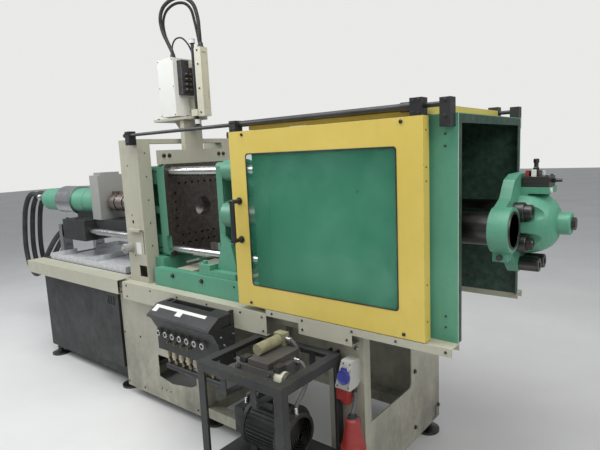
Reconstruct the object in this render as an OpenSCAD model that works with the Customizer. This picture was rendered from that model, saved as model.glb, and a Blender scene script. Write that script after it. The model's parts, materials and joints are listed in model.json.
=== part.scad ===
// Horizontal injection moulding machine with tie bars, sliding hood, sprue picker and hydraulic bench.
// Origin: centre of the locating bore, on the mould face of the fixed platen.
// X runs to the clamp end, Y to the rear side, Z up. All lengths in millimetres.

/* [Overall] */
// Height of the clamp axis above the floor
axis_h = 1230; // [1150:5:1300]
// Running clearance on the radius of a sliding fit
fit = 0.05; // [0.03:0.01:0.1]
// Clearance under a part that slides on a flat
slide_gap = 0.3; // [0.2:0.1:0.5]
// Thickness of folded sheet
sheet = 3; // [2:0.5:4]

/* [Tie bars] */
// Distance between tie bar centres, both ways
tie_pitch = 470; // [460:1:480]
// Diameter of a tie bar
tie_d = 54; // [50:1:58]
// Diameter of a tie bar nut
nut_d = 88; // [80:1:92]
// Length of a tie bar nut
nut_l = 45; // [40:1:50]

/* [Fixed platen] */
// Width and height of both platens
platen_w = 560; // [550:2:570]
// Radius of the platen corners
platen_r = 25; // [15:1:35]
// Thickness of the fixed platen's mould plate
plate_t = 70; // [60:1:80]
// Depth of the whole fixed platen
fixed_depth = 265; // [255:1:275]
// Diameter of the locating bore
bore_d = 125; // [110:1:140]
// Diameter of the way for the barrel behind it
way_d = 190; // [186:1:200]
// Diameter of a mould bolt hole
bolt_d = 16; // [12:1:20]
// Depth of a mould bolt hole
bolt_depth = 32; // [24:1:40]
// Distance between mould bolt holes along Y
bolt_pitch = 50; // [46:1:52]
// Height of the inner bolt row from the axis
bolt_row = 160; // [150:1:165]

/* [Moving platen] */
// Distance between the platens at rest
mould_gap = 455; // [440:1:470]
// Thickness of the moving mould plate
moving_t = 46; // [40:1:52]
// Depth of the moving platen to the back of its hub
moving_depth = 225; // [220:1:230]
// Diameter of a tie bar bush housing
bush_d = 112; // [100:1:116]
// Length of a tie bar bush housing behind the mould plate
bush_l = 150; // [130:1:160]
// Diameter of the hub
hub_d = 260; // [250:1:270]
// Depth of the centring recess in the moving platen
recess_l = 20; // [15:1:25]
// Diameter of the ejector rod
eject_d = 40; // [34:1:44]
// Diameter of the ejector plate
eject_plate_d = 150; // [140:1:160]
// Thickness of the ejector plate
eject_plate_t = 20; // [16:1:24]

/* [Support platen and cylinder] */
// Distance of the support platen from the fixed platen
support_x = 1290; // [1280:1:1300]
// Thickness of the support platen
support_t = 110; // [100:1:116]
// Diameter of the clamp cylinder
cyl_d = 220; // [210:1:230]
// Length of the clamp cylinder
cyl_l = 300; // [290:1:305]
// Diameter of the cylinder flanges
flange_d = 260; // [250:1:270]
// Thickness of a cylinder flange
flange_t = 30; // [25:1:35]
// Diameter of the ram
ram_d = 90; // [80:1:100]
// Diameter of a guide column
column_d = 120; // [110:1:126]
// Distance between the guide columns
column_pitch = 470; // [460:1:480]

/* [Crosshead] */
// Distance of the crosshead from the fixed platen
cross_x = 1898; // [1885:1:1910]
// Thickness of the crosshead's star plate
cross_t = 42; // [36:1:50]
// Outer diameter of a column clamp ring
ring_d = 166; // [160:1:172]
// Length of a column clamp ring
ring_l = 70; // [62:1:78]
// Diameter of the dome
dome_d = 252; // [240:1:260]
// Length of the dome and its boss
dome_l = 173; // [163:1:183]
// Diameter of the boss
boss_d = 88; // [78:1:94]
// Half width of the upper and lower arm
arm_half = 62; // [56:1:70]
// Reach of the upper and lower arm from the axis
arm_top = 192; // [184:1:200]
// Height of the valve pad above the axis
pad_top = 140; // [134:1:146]
// Thickness of the valve pad
pad_t = 24; // [18:1:30]

/* [Bed and base] */
// Depth of the bed's top below the axis
bed_drop = 330; // [325:1:335]
// Height of a bed beam
bed_h = 106; // [100:1:112]
// Step of the bed in from the base's side
bed_step = 14; // [12:1:16]
// Width of a bed beam
bed_w = 54; // [50:1:58]
// Half width over the base
base_half = 386; // [384:1:392]
// Left end of the base
base_x0 = -1640; // [-1700:5:-1620]
// Joint between the closed cabinet and the open base frame
base_mid = -430; // [-440:1:-420]
// Right end of the base, over its end plate
base_x1 = 1416; // [1412:1:1430]
// Size of the frame's square tube
tube = 60; // [50:1:64]
// Height of the levelling feet
foot_h = 70; // [60:1:80]
// Diameter of a levelling foot
foot_d = 130; // [110:1:150]

/* [Long beams] */
// Overhang of the long beams past the base's side
beam_out = 59.5; // [57:0.5:64]
// Height of the front beam
beam_h = 108; // [95:1:115]
// Left end of the right-hand beam
beam_x0 = -295; // [-310:1:-280]
// Right end of the right-hand beam and left end of the tray rail
beam_x1 = 922; // [905:1:930]
// Right end of the left-hand beam
left_beam_x1 = -351; // [-365:1:-335]
// Right end of the tray rail
tray_x1 = 1823; // [1820:1:1835]
// Height of the tray rail's web
tray_h = 32; // [26:1:36]

/* [Portal] */
// Left face of a portal column
portal_x0 = -294; // [-300:1:-288]
// Right face of a portal column
portal_x1 = -105; // [-110:1:-100]
// Gap between the platen and a column
portal_gap = 10; // [8:1:14]
// Step of a column in from the base's side
portal_step = 8; // [4:1:12]
// Height of a column's top above the axis
portal_top = 433; // [428:1:440]

/* [Guard] */
// Left end of the guard
guard_x0 = 824; // [815:1:829]
// Right end of the guard
guard_x1 = 1820; // [1812:1:1823]
// Step of the guard in from the base's side
guard_step = 7.5; // [6:0.5:9]
// Height of the guard's top above the axis
guard_top = 423; // [421:1:424]
// Width of the rim at the guard's open end
rim = 34; // [28:1:38]

/* [Sliding hood] */
// Left edge of the doors
door_x0 = 747; // [742:1:752]
// Right edge of the doors
door_x1 = 1722; // [1718:1:1730]
// Depth of the doors below the axis
door_drop = 406; // [404:1:407]
// Height of the doors above the axis
door_top = 420; // [416:1:421]
// Thickness of the doors
door_t = 47; // [42:1:50]
// Left edge of the window
win_x0 = 848; // [840:1:856]
// Right edge of the window
win_x1 = 1617; // [1610:1:1625]
// Bottom edge of the window
win_z0 = -302; // [-310:1:-294]
// Top edge of the window
win_z1 = 318; // [310:1:326]
// Radius of the window corners
win_r = 14; // [8:1:20]
// Thickness of the window pane
pane_t = 5; // [4:0.5:6]
// Left end of the roof
roof_x0 = 830; // [825:1:840]
// Right end of the roof
roof_x1 = 1714; // [1700:1:1722]
// Height of the roof's rim
roof_h = 40; // [34:1:44]
// Distance of the roof's edge behind the beam fronts
roof_in = 53.5; // [51.5:0.5:57.5]

/* [Hood rails] */
// Diameter of a rail rod
rod_d = 18; // [16:1:20]
// Distance of the rods behind the beam fronts
rod_in = 35.5; // [32:0.5:38]
// Height of the rods above the axis
rod_z = 455; // [452:1:460]
// Outer diameter of the carrier tube on the door
carrier_d = 28; // [26:1:30]

/* [Injection unit] */
// Diameter of a guide rod
guide_d = 50; // [44:1:54]
// Distance between the guide rods
guide_pitch = 280; // [274:1:286]
// Depth of the guide rods below the axis
guide_drop = 215; // [210:1:220]
// Diameter of the front housing
head_d = 206; // [196:1:212]
// Rear end of the front housing
head_x0 = -1525; // [-1530:1:-1520]
// Front end of the front housing
head_x1 = -1182; // [-1190:1:-1175]
// Diameter of the bright cylinder behind it
drum_d = 240; // [225:1:245]
// Length of the bright cylinder
drum_l = 245; // [235:1:250]
// Diameter of the rear motor housing
motor_d = 192; // [180:1:200]
// Length of the rear motor housing
motor_l = 310; // [290:1:330]
// Front face of the feed block
feed_x1 = -1060; // [-1070:1:-1050]
// Height of the feed block above the axis
feed_top = 230; // [220:1:240]
// Diameter of the barrel
barrel_d = 100; // [94:1:106]
// Front end of the barrel, before the nozzle
barrel_x1 = -430; // [-440:1:-425]
// Diameter of the screw
screw_d = 40; // [36:1:42]
// Lead of the screw
screw_lead = 48; // [44:1:60]
// Diameter of a heater band
band_d = 132; // [126:1:138]
// Width of a heater band
band_w = 90; // [80:1:94]
// Distance between heater bands
band_pitch = 105; // [100:1:108]
// Number of heater bands
band_n = 5; // [3:1:5]
// Diameter of the large hoses
hose_d = 44; // [36:1:46]

/* [Sprue picker] */
// Centre of the picker's bracket along Y
picker_y = -25; // [-30:1:-20]
// Height of the picker's base plate above the axis
picker_z = 545; // [535:1:555]
// Width of the picker box along X
pick_w = 157; // [150:1:165]
// Depth of the picker box along Y
pick_l = 185; // [175:1:195]
// Height of the picker box
pick_h = 351; // [340:1:360]
// Diameter of the vertical arm rod
arm_rod_d = 20; // [18:1:24]

/* [Water distributor] */
// Left end of the distributor
water_x0 = 195; // [185:1:205]
// Width of the distributor
water_w = 500; // [485:1:515]
// Depth of the desk in front of the beam
desk_depth = 160; // [150:1:170]
// Depth of the level part of the desk's top
desk_level = 94; // [88:1:98]
// Number of circuits
water_n = 7; // [7:1:7]
// Distance between circuits
water_pitch = 60; // [57:1:62]
// Diameter of a control knob
knob_d = 36; // [30:1:40]

/* [Sockets] */
// Left side of the socket leg
leg_x0 = 1233; // [1228:1:1238]
// Left side of the socket box at its foot
box_x0 = 1328; // [1327:1:1332]
// Width of the socket box at its foot
box_w = 70; // [66:1:72]
// Width of the socket box at its top
box_top_w = 50; // [46:1:56]
// Height of the socket box
box_h = 122; // [116:1:128]
// Depth of the socket box at its top
box_depth = 66; // [62:1:70]
// Lean of the socket box's front
box_lean = 11.5; // [9:0.5:13]
// Diameter of the socket's lid
lid_d = 60; // [56:1:62]
// Largest diameter of the hanging plug
plug_d = 106; // [98:1:112]

/* [Hydraulic bench] */
// Left side of the bench
bench_x0 = 854; // [845:1:865]
// Right side of the bench
bench_x1 = 1326; // [1318:1:1326]
// Gap between the base and the bench
bench_gap = 34; // [30:1:40]
// Depth of the bench
bench_l = 394; // [380:1:410]
// Depth of the bench's top below the axis
bench_drop = 544; // [538:1:550]
// Width of the angle iron
angle_w = 40; // [36:1:44]
// Thickness of the angle iron
angle_t = 5; // [4:1:6]

/* [Hidden] */
$fn = 48;

// Derived places
floor_z = -axis_h;
base_top = -bed_drop - bed_h;
base_bottom = floor_z + foot_h;
frame_half = base_half - sheet;
bed_top = -bed_drop;
bed_half = base_half - bed_step;
bed_x0 = -45;
bed_x1 = support_x + support_t;
bed_in = bed_half - bed_w;
tie_half = tie_pitch / 2;
column_half = column_pitch / 2;
platen_half = platen_w / 2;
portal_in = platen_half + portal_gap;
portal_out = base_half - portal_step;
guard_half = base_half - guard_step;
beam_y = base_half + beam_out;
roof_half = beam_y - roof_in;
rod_y = beam_y - rod_in;
bench_y1 = -base_half - bench_gap;
bench_y0 = bench_y1 - bench_l;
shelf_z = floor_z + 230;
body_half = platen_half - 18;
tie_x0 = -fixed_depth - nut_l;
tie_x1 = support_x + support_t + nut_l;
hub_x1 = mould_gap + moving_depth;
column_x0 = hub_x1 - 45;
pocket_x0 = mould_gap + 75;
pocket_d = eject_plate_d + 12;
cyl_x0 = support_x - cyl_l;
ram_flange_t = 20;
ram_flange_d = hub_d - 20;
guard_in = guard_half - sheet;
guard_bottom = base_top + 27;
guide_half = guide_pitch / 2;
drum_x0 = head_x0 - drum_l;
piston_d = 150;
shank_d = screw_d;
barrel_x0 = head_x1 - 158;
bore_x1 = barrel_x1 + 32;
carriage_x1 = head_x1;
leg_x1 = base_x1 - sheet;
desk_z = base_top - 26;
face_y = -beam_y - 105;
knob_z = desk_z - 160;
knob_x0 = water_x0 + 34;
box_top = base_top - 120;
bench_top = -bench_drop;
cabinet_front = 326;
chute_x0 = 80;
chute_x1 = 225;
swivel_x = -150;
swivel_y = -8;
arm_x = 66;
arm_y = -50;

// Shared shapes

// Block between two corners
module block(a, b) { translate(a) cube(b - a); }

// Both sides of the machine's middle plane
module both_sides() { children(); mirror([0, 1, 0]) children(); }

// Round bar along X from x0 to x1
module xbar(x0, x1, d, y = 0, z = 0) {
    translate([x0, y, z]) rotate([0, 90, 0]) cylinder(d = d, h = x1 - x0);
}

// Round bar along Y from y0 to y1
module ybar(y0, y1, d, x = 0, z = 0) {
    translate([x, y0, z]) rotate([-90, 0, 0]) cylinder(d = d, h = y1 - y0);
}

// Round bar along Z from z0 to z1
module zbar(z0, z1, d, x = 0, y = 0) {
    translate([x, y, z0]) cylinder(d = d, h = z1 - z0);
}

// Outline drawn in Y and Z, made thick along X
module yz_plate(x0, x1) {
    translate([x0, 0, 0]) rotate([90, 0, 90]) linear_extrude(x1 - x0) children();
}

// Outline drawn in X and Z, made thick along Y
module xz_plate(y0, y1) {
    translate([0, y1, 0]) rotate([90, 0, 0]) linear_extrude(y1 - y0) children();
}

// Outline drawn in X and Y, made thick along Z
module xy_plate(z0, z1) {
    translate([0, 0, z0]) linear_extrude(z1 - z0) children();
}

// Rectangle with round corners between two points
module round_rect(a, b, r) {
    translate([a[0] + r, a[1]]) square([b[0] - a[0] - 2 * r, b[1] - a[1]]);
    translate([a[0], a[1] + r]) square([b[0] - a[0], b[1] - a[1] - 2 * r]);
    for (x = [a[0] + r, b[0] - r], y = [a[1] + r, b[1] - r]) translate([x, y]) circle(r);
}

// Solid of revolution about X: points are [distance along X, radius]
module xturn(points, y = 0, z = 0) {
    translate([0, y, z]) rotate([0, 90, 0]) rotate_extrude() polygon([for (p = points) [p[1], p[0]]]);
}

// Hexagon bar along X
module xhex(x0, x1, af, y = 0, z = 0) {
    translate([x0, y, z]) rotate([0, 90, 0]) cylinder(d = af / cos(30), h = x1 - x0, $fn = 6);
}

// Smooth curve through chosen points, with steps pieces between two points
function curve_point(a, b, c, d, t) =
    0.5 * (2 * b + (c - a) * t + (2 * a - 5 * b + 4 * c - d) * t * t + (3 * b - a - 3 * c + d) * t * t * t);
function curve(p, steps) = [
    for (i = [0 : len(p) - 2], k = [0 : steps - 1])
        curve_point(p[max(i - 1, 0)], p[i], p[i + 1], p[min(i + 2, len(p) - 1)], k / steps),
    p[len(p) - 1]
];
// The same with a straight piece at both ends
function path(p, steps) = concat([p[0]], curve([for (i = [1 : len(p) - 2]) p[i]], steps), [p[len(p) - 1]]);
function unit(v) = v / norm(v);
function heading(p, i) = unit(p[min(i + 1, len(p) - 1)] - p[max(i - 1, 0)]);

// Hose along a curve: side is a direction that the curve never takes
module hose(p, d, side, sides = 8) {
    n = len(p);
    rings = [for (i = [0 : n - 1])
        let (t = heading(p, i), u = unit(cross(t, side)), v = cross(t, u))
        for (k = [0 : sides - 1]) p[i] + d / 2 * (cos(360 * k / sides) * u + sin(360 * k / sides) * v)];
    walls = [for (i = [0 : n - 2], k = [0 : sides - 1])
        let (a = i * sides + k, b = i * sides + (k + 1) % sides)
        [a, a + sides, b + sides, b]];
    first = [for (k = [0 : sides - 1]) k];
    last = [for (k = [sides - 1 : -1 : 0]) (n - 1) * sides + k];
    polyhedron(rings, concat([first], walls, [last]), convexity = 6);
}

// Base

module cabinet() {
    color("DimGray") block([base_x0, -cabinet_front, base_bottom], [base_mid, frame_half, base_top]);
}

module base_frame() {
    posts = [base_mid, 310, base_x1 - sheet - tube];
    end = base_x1 - 2 * sheet;
    color("Gray") {
        both_sides() {
            for (z = [base_bottom, base_top - tube])
                block([base_mid, frame_half - tube, z], [end, frame_half, z + tube]);
            for (x = posts)
                block([x, frame_half - tube, base_bottom], [min(x + tube, end), frame_half, base_top]);
        }
        for (x = posts, z = [base_bottom, base_top - tube])
            block([x, -frame_half, z], [min(x + tube, end), frame_half, z + tube]);
        block([-fixed_depth, -frame_half, base_top - tube], [-fixed_depth + tube, frame_half, base_top]);
        block([chute_x0, -frame_half, base_top - tube], [chute_x1, frame_half, base_top]);
        chute_cover();
    }
}

// Folded cover across the bed, under the mould space
module chute_cover() {
    difference() {
        block([chute_x0, -bed_in, base_top - 1], [chute_x1, bed_in, bed_top - 5]);
        block([chute_x0 + sheet, -bed_in + sheet, base_top],
            [chute_x1 - sheet, bed_in - sheet, bed_top - 5 - sheet]);
    }
}

module levelling_feet() {
    color("DimGray") both_sides() for (x = [base_x0 + 90, base_mid - 90, 340, base_x1 - 36]) {
        translate([x, frame_half - 75, floor_z]) rotate_extrude()
            polygon([[0, 0], [foot_d / 2, 0], [foot_d / 2, 14], [24, 26], [24, 36], [0, 36]]);
        zbar(floor_z + 30, base_bottom, 24, x, frame_half - 75);
        zbar(floor_z + 48, floor_z + 62, 44, x, frame_half - 75, $fn = 6);
    }
}

// Folded beam of sheet with a top and a bottom flange, on the front side
module folded_beam(x0, x1, top, h) {
    yz_plate(x0, x1) polygon([
        [-beam_y, top], [-frame_half + 3, top], [-frame_half + 3, top - sheet], [-beam_y + sheet, top - sheet],
        [-beam_y + sheet, top - h + sheet], [-beam_y + 22, top - h + sheet], [-beam_y + 22, top - h],
        [-beam_y, top - h]]);
}

// Tray rail that carries the guard: its inner leg stands on the base
module tray_rail() {
    leg_y = guard_in - 2.5;
    yz_plate(beam_x1, tray_x1) polygon([
        [-beam_y, guard_bottom], [-leg_y, guard_bottom], [-leg_y, base_top], [-leg_y - sheet, base_top],
        [-leg_y - sheet, guard_bottom - sheet], [-beam_y + sheet, guard_bottom - sheet],
        [-beam_y + sheet, guard_bottom - tray_h], [-beam_y, guard_bottom - tray_h]]);
}

// Flat tray with a raised rim, lying on the cabinet's top
module table_tray(x0, x1) {
    difference() {
        block([x0, -300, base_top], [x1, 300, base_top + 44]);
        block([x0 + sheet, -300 + sheet, base_top + sheet], [x1 - sheet, 300 - sheet, base_top + 45]);
        block([x0 - 1, -82, base_top + sheet], [x0 + sheet + 1, 82, base_top + 45]);
    }
}

module side_rails() {
    x0 = base_x1 - 298;
    color([0.68, 0.67, 0.6]) {
        both_sides() {
            folded_beam(beam_x0, beam_x1, base_top + sheet, beam_h);
            tray_rail();
        }
        both_sides() left_beam();
        block([x0, -beam_y, base_top - 54], [x0 + 281, -beam_y + sheet, guard_bottom - tray_h]);
        block([x0, -beam_y, base_top - 54], [x0 + 281, -base_half, base_top - 54 + sheet]);
        table_tray(base_x0 + 90, -1050);
        table_tray(-1046, -480);
    }
}

// Beam along the cabinet, whose top flange reaches over the cabinet
module left_beam() {
    yz_plate(base_x0, left_beam_x1) polygon([
        [-beam_y, base_top + sheet], [-cabinet_front + 6, base_top + sheet], [-cabinet_front + 6, base_top],
        [-beam_y + sheet, base_top], [-beam_y + sheet, base_top - 84], [-beam_y + 22, base_top - 84],
        [-beam_y + 22, base_top - 87], [-beam_y, base_top - 87]]);
}

module side_panels() {
    color([0.68, 0.67, 0.6]) {
        difference() {
            block([base_mid, -base_half, base_bottom - 10], [305, -frame_half, base_top - 64]);
            xz_plate(-base_half - 1, -frame_half + 1) translate([0, base_bottom]) {
                polygon([[-67, 140], [-67, 280], [290, 280], [290, 175], [240, 148], [60, 120]]);
                for (x = [-52, -8, 36]) translate([x, 62]) circle(7);
            }
        }
        block([base_mid, frame_half, base_bottom - 10], [leg_x1 - 60, base_half, base_top - 20]);
        block([base_x0, frame_half, base_bottom - 10], [base_mid - 4, base_half, base_top - 20]);
    }
}

module end_plate() {
    color([0.68, 0.67, 0.6]) difference() {
        block([base_x1 - 2 * sheet, -base_half, base_bottom - 10], [base_x1, base_half, base_top]);
        yz_plate(base_x1 - 3 * sheet, base_x1 + 1) {
            round_rect([-base_half + 36, base_bottom + 290], [57, base_top - 34], 28);
            round_rect([base_half - 86, base_bottom], [base_half - 36, base_bottom + 70], 10);
            for (y = [90, base_half - 16], z = [base_bottom + 60, base_top - 364, base_top - 64])
                translate([y, z]) circle(6);
        }
    }
}

module socket_leg() {
    color([0.68, 0.67, 0.6]) difference() {
        block([leg_x0, -base_half, base_bottom - 10], [leg_x1 - sheet, -frame_half, base_top]);
        for (z = [base_top - 84, base_top - 404, base_bottom + 80])
            ybar(-base_half - 1, -frame_half + 1, 9, leg_x0 + 150, z);
    }
}

module black_hood() {
    x0 = -773;
    x1 = base_mid - 10;
    front = -base_half - 14;
    z0 = base_bottom + 112;
    color([0.14, 0.14, 0.14]) difference() {
        block([x0, front, z0], [x1, -cabinet_front, base_top - 100]);
        block([x0 + sheet, front + sheet, z0 - 1],
            [x1 - sheet, -cabinet_front - sheet, base_top - 100 - sheet]);
        for (k = [0 : 4]) translate([x1 - 120 + 20 * k, 0, base_top - 164])
            rotate([0, 20, 0]) block([-4, front - 1, -32], [4, front + sheet + 1, 32]);
    }
}

// Clamp

// C-section bed beam with its web outside
module bed_beam() {
    difference() {
        yz_plate(bed_x0, bed_x1) polygon([
            [-bed_half, base_top], [-bed_in, base_top], [-bed_in, base_top + 16],
            [-bed_half + 14, base_top + 16], [-bed_half + 14, bed_top - 14], [-bed_in, bed_top - 14],
            [-bed_in, bed_top], [-bed_half, bed_top]]);
        for (x = [130 : 254 : bed_x1 - 60]) ybar(-bed_half - 1, -bed_half + 15, 14, x, bed_top - 30);
    }
}

module clamp_bed() {
    color([0.31, 0.55, 0.44]) {
        both_sides() bed_beam();
        difference() {
            union() {
                block([-fixed_depth, -portal_in + 5, base_top], [bed_x0 - 55, portal_in - 5, -platen_half]);
                block([bed_x0 - 55, -bed_in - 1, base_top], [-20, bed_in + 1, -platen_half]);
            }
            block([-fixed_depth - 1, -150, base_top - 1], [0, 150, bed_top]);
        }
        difference() {
            block([support_x, -bed_in - 1, base_top], [bed_x1, bed_in + 1, -platen_half]);
            block([support_x - 1, -150, base_top - 1], [bed_x1 + 1, 150, bed_top]);
        }
    }
}

// Square plate of a platen from x0 to x1
module platen_plate(x0, x1) {
    yz_plate(x0, x1) round_rect([-platen_half, -platen_half], [platen_half, platen_half], platen_r);
}

// Four tie bar places
module at_ties() {
    for (y = [-tie_half, tie_half], z = [-tie_half, tie_half]) translate([0, y, z]) children();
}

// Mould bolt holes from a mould face at x0 into the plate along dir
module bolt_holes(x0, dir) {
    a = dir > 0 ? x0 - 1 : x0 - bolt_depth;
    b = dir > 0 ? x0 + bolt_depth : x0 + 1;
    for (k = [-3.5 : 3.5], z = [-bolt_row - 50, -bolt_row, bolt_row, bolt_row + 50])
        xbar(a, b, bolt_d, k * bolt_pitch, z, $fn = 24);
    for (y = [-210, 210], z = [-100, -50, 0, 50, 100]) xbar(a, b, bolt_d, y, z, $fn = 24);
}

module fixed_platen() {
    color([0.31, 0.55, 0.44]) difference() {
        union() {
            platen_plate(-plate_t, 0);
            yz_plate(-fixed_depth, -plate_t + 5)
                round_rect([-body_half, -platen_half], [body_half, platen_half - 12], platen_r);
        }
        xbar(-plate_t - 1, 1, bore_d, $fn = 96);
        xbar(-fixed_depth - 1, -plate_t, way_d, $fn = 96);
        at_ties() xbar(-fixed_depth - 1, 1, tie_d + 2 * fit);
        bolt_holes(0, -1);
        both_sides() {
            block([-25, -platen_half - 1, -platen_half + 30], [1, -body_half, -150]);
            for (z = [-160, 20])
                block([-fixed_depth + 40, -body_half - 1, z], [-plate_t - 30, -body_half + 50, z + 140]);
        }
        for (y = [-150, 20])
            block([-fixed_depth + 40, y, platen_half - 60], [-plate_t - 30, y + 130, platen_half]);
    }
}

module tie_bars() {
    color("Silver") at_ties() xturn([[tie_x0, 0], [tie_x0, tie_d / 2 - 3], [tie_x0 + 3, tie_d / 2],
        [tie_x1 - 3, tie_d / 2], [tie_x1, tie_d / 2 - 3], [tie_x1, 0]]);
}

module tie_nut(x0, x1) {
    difference() {
        xturn([[x0, 0], [x0, nut_d / 2 - 3], [x0 + 3, nut_d / 2], [x1 - 3, nut_d / 2],
            [x1, nut_d / 2 - 3], [x1, 0]]);
        xbar(x0 - 1, x1 + 1, tie_d + 2 * fit);
        for (a = [0 : 60 : 300]) rotate([a, 0, 0]) xbar((x0 + x1) / 2, x1 + 1, 8, nut_d / 2, 0, $fn = 16);
    }
}

module tie_bar_nuts() {
    color([0.25, 0.25, 0.25]) at_ties() {
        tie_nut(tie_x0, -fixed_depth);
        tie_nut(support_x + support_t, tie_x1);
    }
}

module support_platen() {
    color([0.31, 0.55, 0.44]) difference() {
        union() {
            platen_plate(support_x, support_x + support_t);
            both_sides() xbar(support_x, support_x + support_t, column_d + 50, -column_half, $fn = 64);
        }
        at_ties() xbar(support_x - 1, support_x + support_t + 1, tie_d + 2 * fit);
        both_sides() xbar(support_x - 1, support_x + support_t + 1, column_d + 2 * fit, -column_half, $fn = 96);
        xbar(support_x - 1, support_x + support_t + 1, ram_d + 2 * fit, $fn = 96);
    }
}

module clamp_cylinder() {
    x1 = support_x;
    color([0.25, 0.25, 0.26]) difference() {
        union() {
            xbar(cyl_x0 + flange_t - 1, x1 - flange_t + 1, cyl_d, $fn = 96);
            xbar(cyl_x0, cyl_x0 + flange_t, flange_d, $fn = 96);
            xbar(x1 - flange_t, x1, flange_d, $fn = 96);
            block([x1 - 110, -40, cyl_d / 2 - 15], [x1 - 40, 40, cyl_d / 2 + 30]);
            block([cyl_x0 + 40, -35, cyl_d / 2 - 15], [cyl_x0 + 95, 35, cyl_d / 2 + 25]);
        }
        xbar(cyl_x0 - 1, x1 + 1, ram_d + 2 * fit, $fn = 96);
        for (a = [15 : 30 : 345]) rotate([a, 0, 0])
            xbar(cyl_x0 - 1, cyl_x0 + 14, 16, 0, flange_d / 2 - 12, $fn = 16);
    }
}

// Rib from the hub to the corner at an angle
module corner_rib(a, reach) {
    rotate([a, 0, 0]) xz_plate(-14, 14) polygon([
        [mould_gap + moving_t - 2, 40], [mould_gap + moving_t - 2, reach], [mould_gap + moving_t + 70, reach],
        [hub_x1 - 30, 110], [hub_x1 - 30, 40]]);
}

module moving_platen() {
    back = mould_gap + moving_t;
    color([0.31, 0.55, 0.44]) difference() {
        union() {
            platen_plate(mould_gap, back);
            xbar(back - 1, hub_x1, hub_d, $fn = 96);
            both_sides() xbar(back - 1, column_x0, column_d + 30, -column_half, $fn = 64);
            both_sides() block([back - 1, -column_half, -35], [column_x0 - 25, -100, 35]);
            at_ties() xbar(back - 1, back + bush_l, bush_d);
            for (a = [45, 135, 225, 315]) corner_rib(a, tie_half * sqrt(2) - bush_d / 2 + 6);
            both_sides()
                block([mould_gap - 60, -platen_half - 20, -193], [mould_gap + 20, -platen_half + 2, -155]);
        }
        at_ties() xbar(mould_gap - 1, back + bush_l + 1, tie_d + 2 * fit);
        xbar(mould_gap - 1, mould_gap + recess_l, bore_d, $fn = 96);
        xbar(mould_gap, pocket_x0 + 1, eject_d + 2 * fit);
        xbar(pocket_x0, hub_x1 + 1, pocket_d, $fn = 96);
        bolt_holes(mould_gap, 1);
    }
}

module platen_shoes() {
    shoe_x0 = mould_gap - 100;
    shoe_x1 = mould_gap + 185;
    foot_z = bed_top + slide_gap;
    color([0.31, 0.55, 0.44]) both_sides() {
        block([shoe_x0, -bed_half + 12, foot_z], [shoe_x1, -platen_half - 20, foot_z + 32]);
        block([shoe_x0, -bed_half + 12, foot_z], [shoe_x0 + 90, -platen_half - 20, foot_z + 60]);
        zbar(foot_z + 58, foot_z + 76, 26, shoe_x0 + 22, -bed_half + 42);
        block([mould_gap + 20, -platen_half - 13, -260], [mould_gap + 44, -platen_half, -110]);
        xz_plate(-platen_half - 36, -platen_half - 12) polygon([
            [mould_gap + 4, foot_z], [mould_gap + 4, foot_z + 42], [mould_gap + 22, foot_z + 100],
            [mould_gap + 44, -150], [mould_gap + 44, -100], [mould_gap + 46, -100], [mould_gap + 120, -150],
            [mould_gap + 150, foot_z + 60], [mould_gap + 150, foot_z]]);
    }
}

module guide_columns() {
    x1 = cross_x + ring_l - 6;
    color([0.2, 0.2, 0.21]) both_sides() xturn([[column_x0, 0], [column_x0, column_d / 2],
        [x1 - 3, column_d / 2], [x1, column_d / 2 - 3], [x1, 42], [x1 - 5, 38], [x1 - 5, 0]], -column_half);
}

module ram() {
    color("Silver") union() {
        xbar(hub_x1, hub_x1 + ram_flange_t, ram_flange_d, $fn = 96);
        xbar(hub_x1 + ram_flange_t - 1, cross_x, ram_d, $fn = 96);
    }
}

module ejector() {
    color("Silver") union() {
        xbar(mould_gap + recess_l + 3, hub_x1 - 4, eject_d);
        xbar(hub_x1 - 4 - eject_plate_t, hub_x1 - 4, eject_plate_d, $fn = 64);
    }
}

// Outline of the crosshead's star plate
module star_outline() {
    ring_r = ring_d / 2;
    polygon([[-column_half, ring_r], [-176, 108], [-150, 146], [-124, 174], [-arm_half, arm_top],
        [arm_half, arm_top], [124, 174], [150, 146], [176, 108], [column_half, ring_r], [column_half, -ring_r],
        [140, -112], [92, -164], [arm_half, -arm_top], [-arm_half, -arm_top], [-92, -164], [-140, -112],
        [-column_half, -ring_r]]);
    for (y = [-column_half, column_half]) translate([y, 0]) circle(ring_r);
}

// Profile of the dome with its boss: [distance along X, radius]
function dome_profile(x1, boss_x0, steps = 8) = concat([[x1 - 1, 0]],
    [for (k = [0 : steps]) [
        x1 - 1 + (boss_x0 - x1) * sin(90 * k / steps),
        boss_d / 2 + (dome_d - boss_d) / 2 * cos(90 * k / steps)]],
    [[x1 + dome_l - 4, boss_d / 2], [x1 + dome_l, boss_d / 2 - 4], [x1 + dome_l, 0]]);

// Split lug under a column clamp ring
module clamp_lug() {
    block([cross_x + 4, -column_half - 26, -ring_d / 2 - 32], [cross_x + 56, -column_half + 26, -60]);
}

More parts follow.
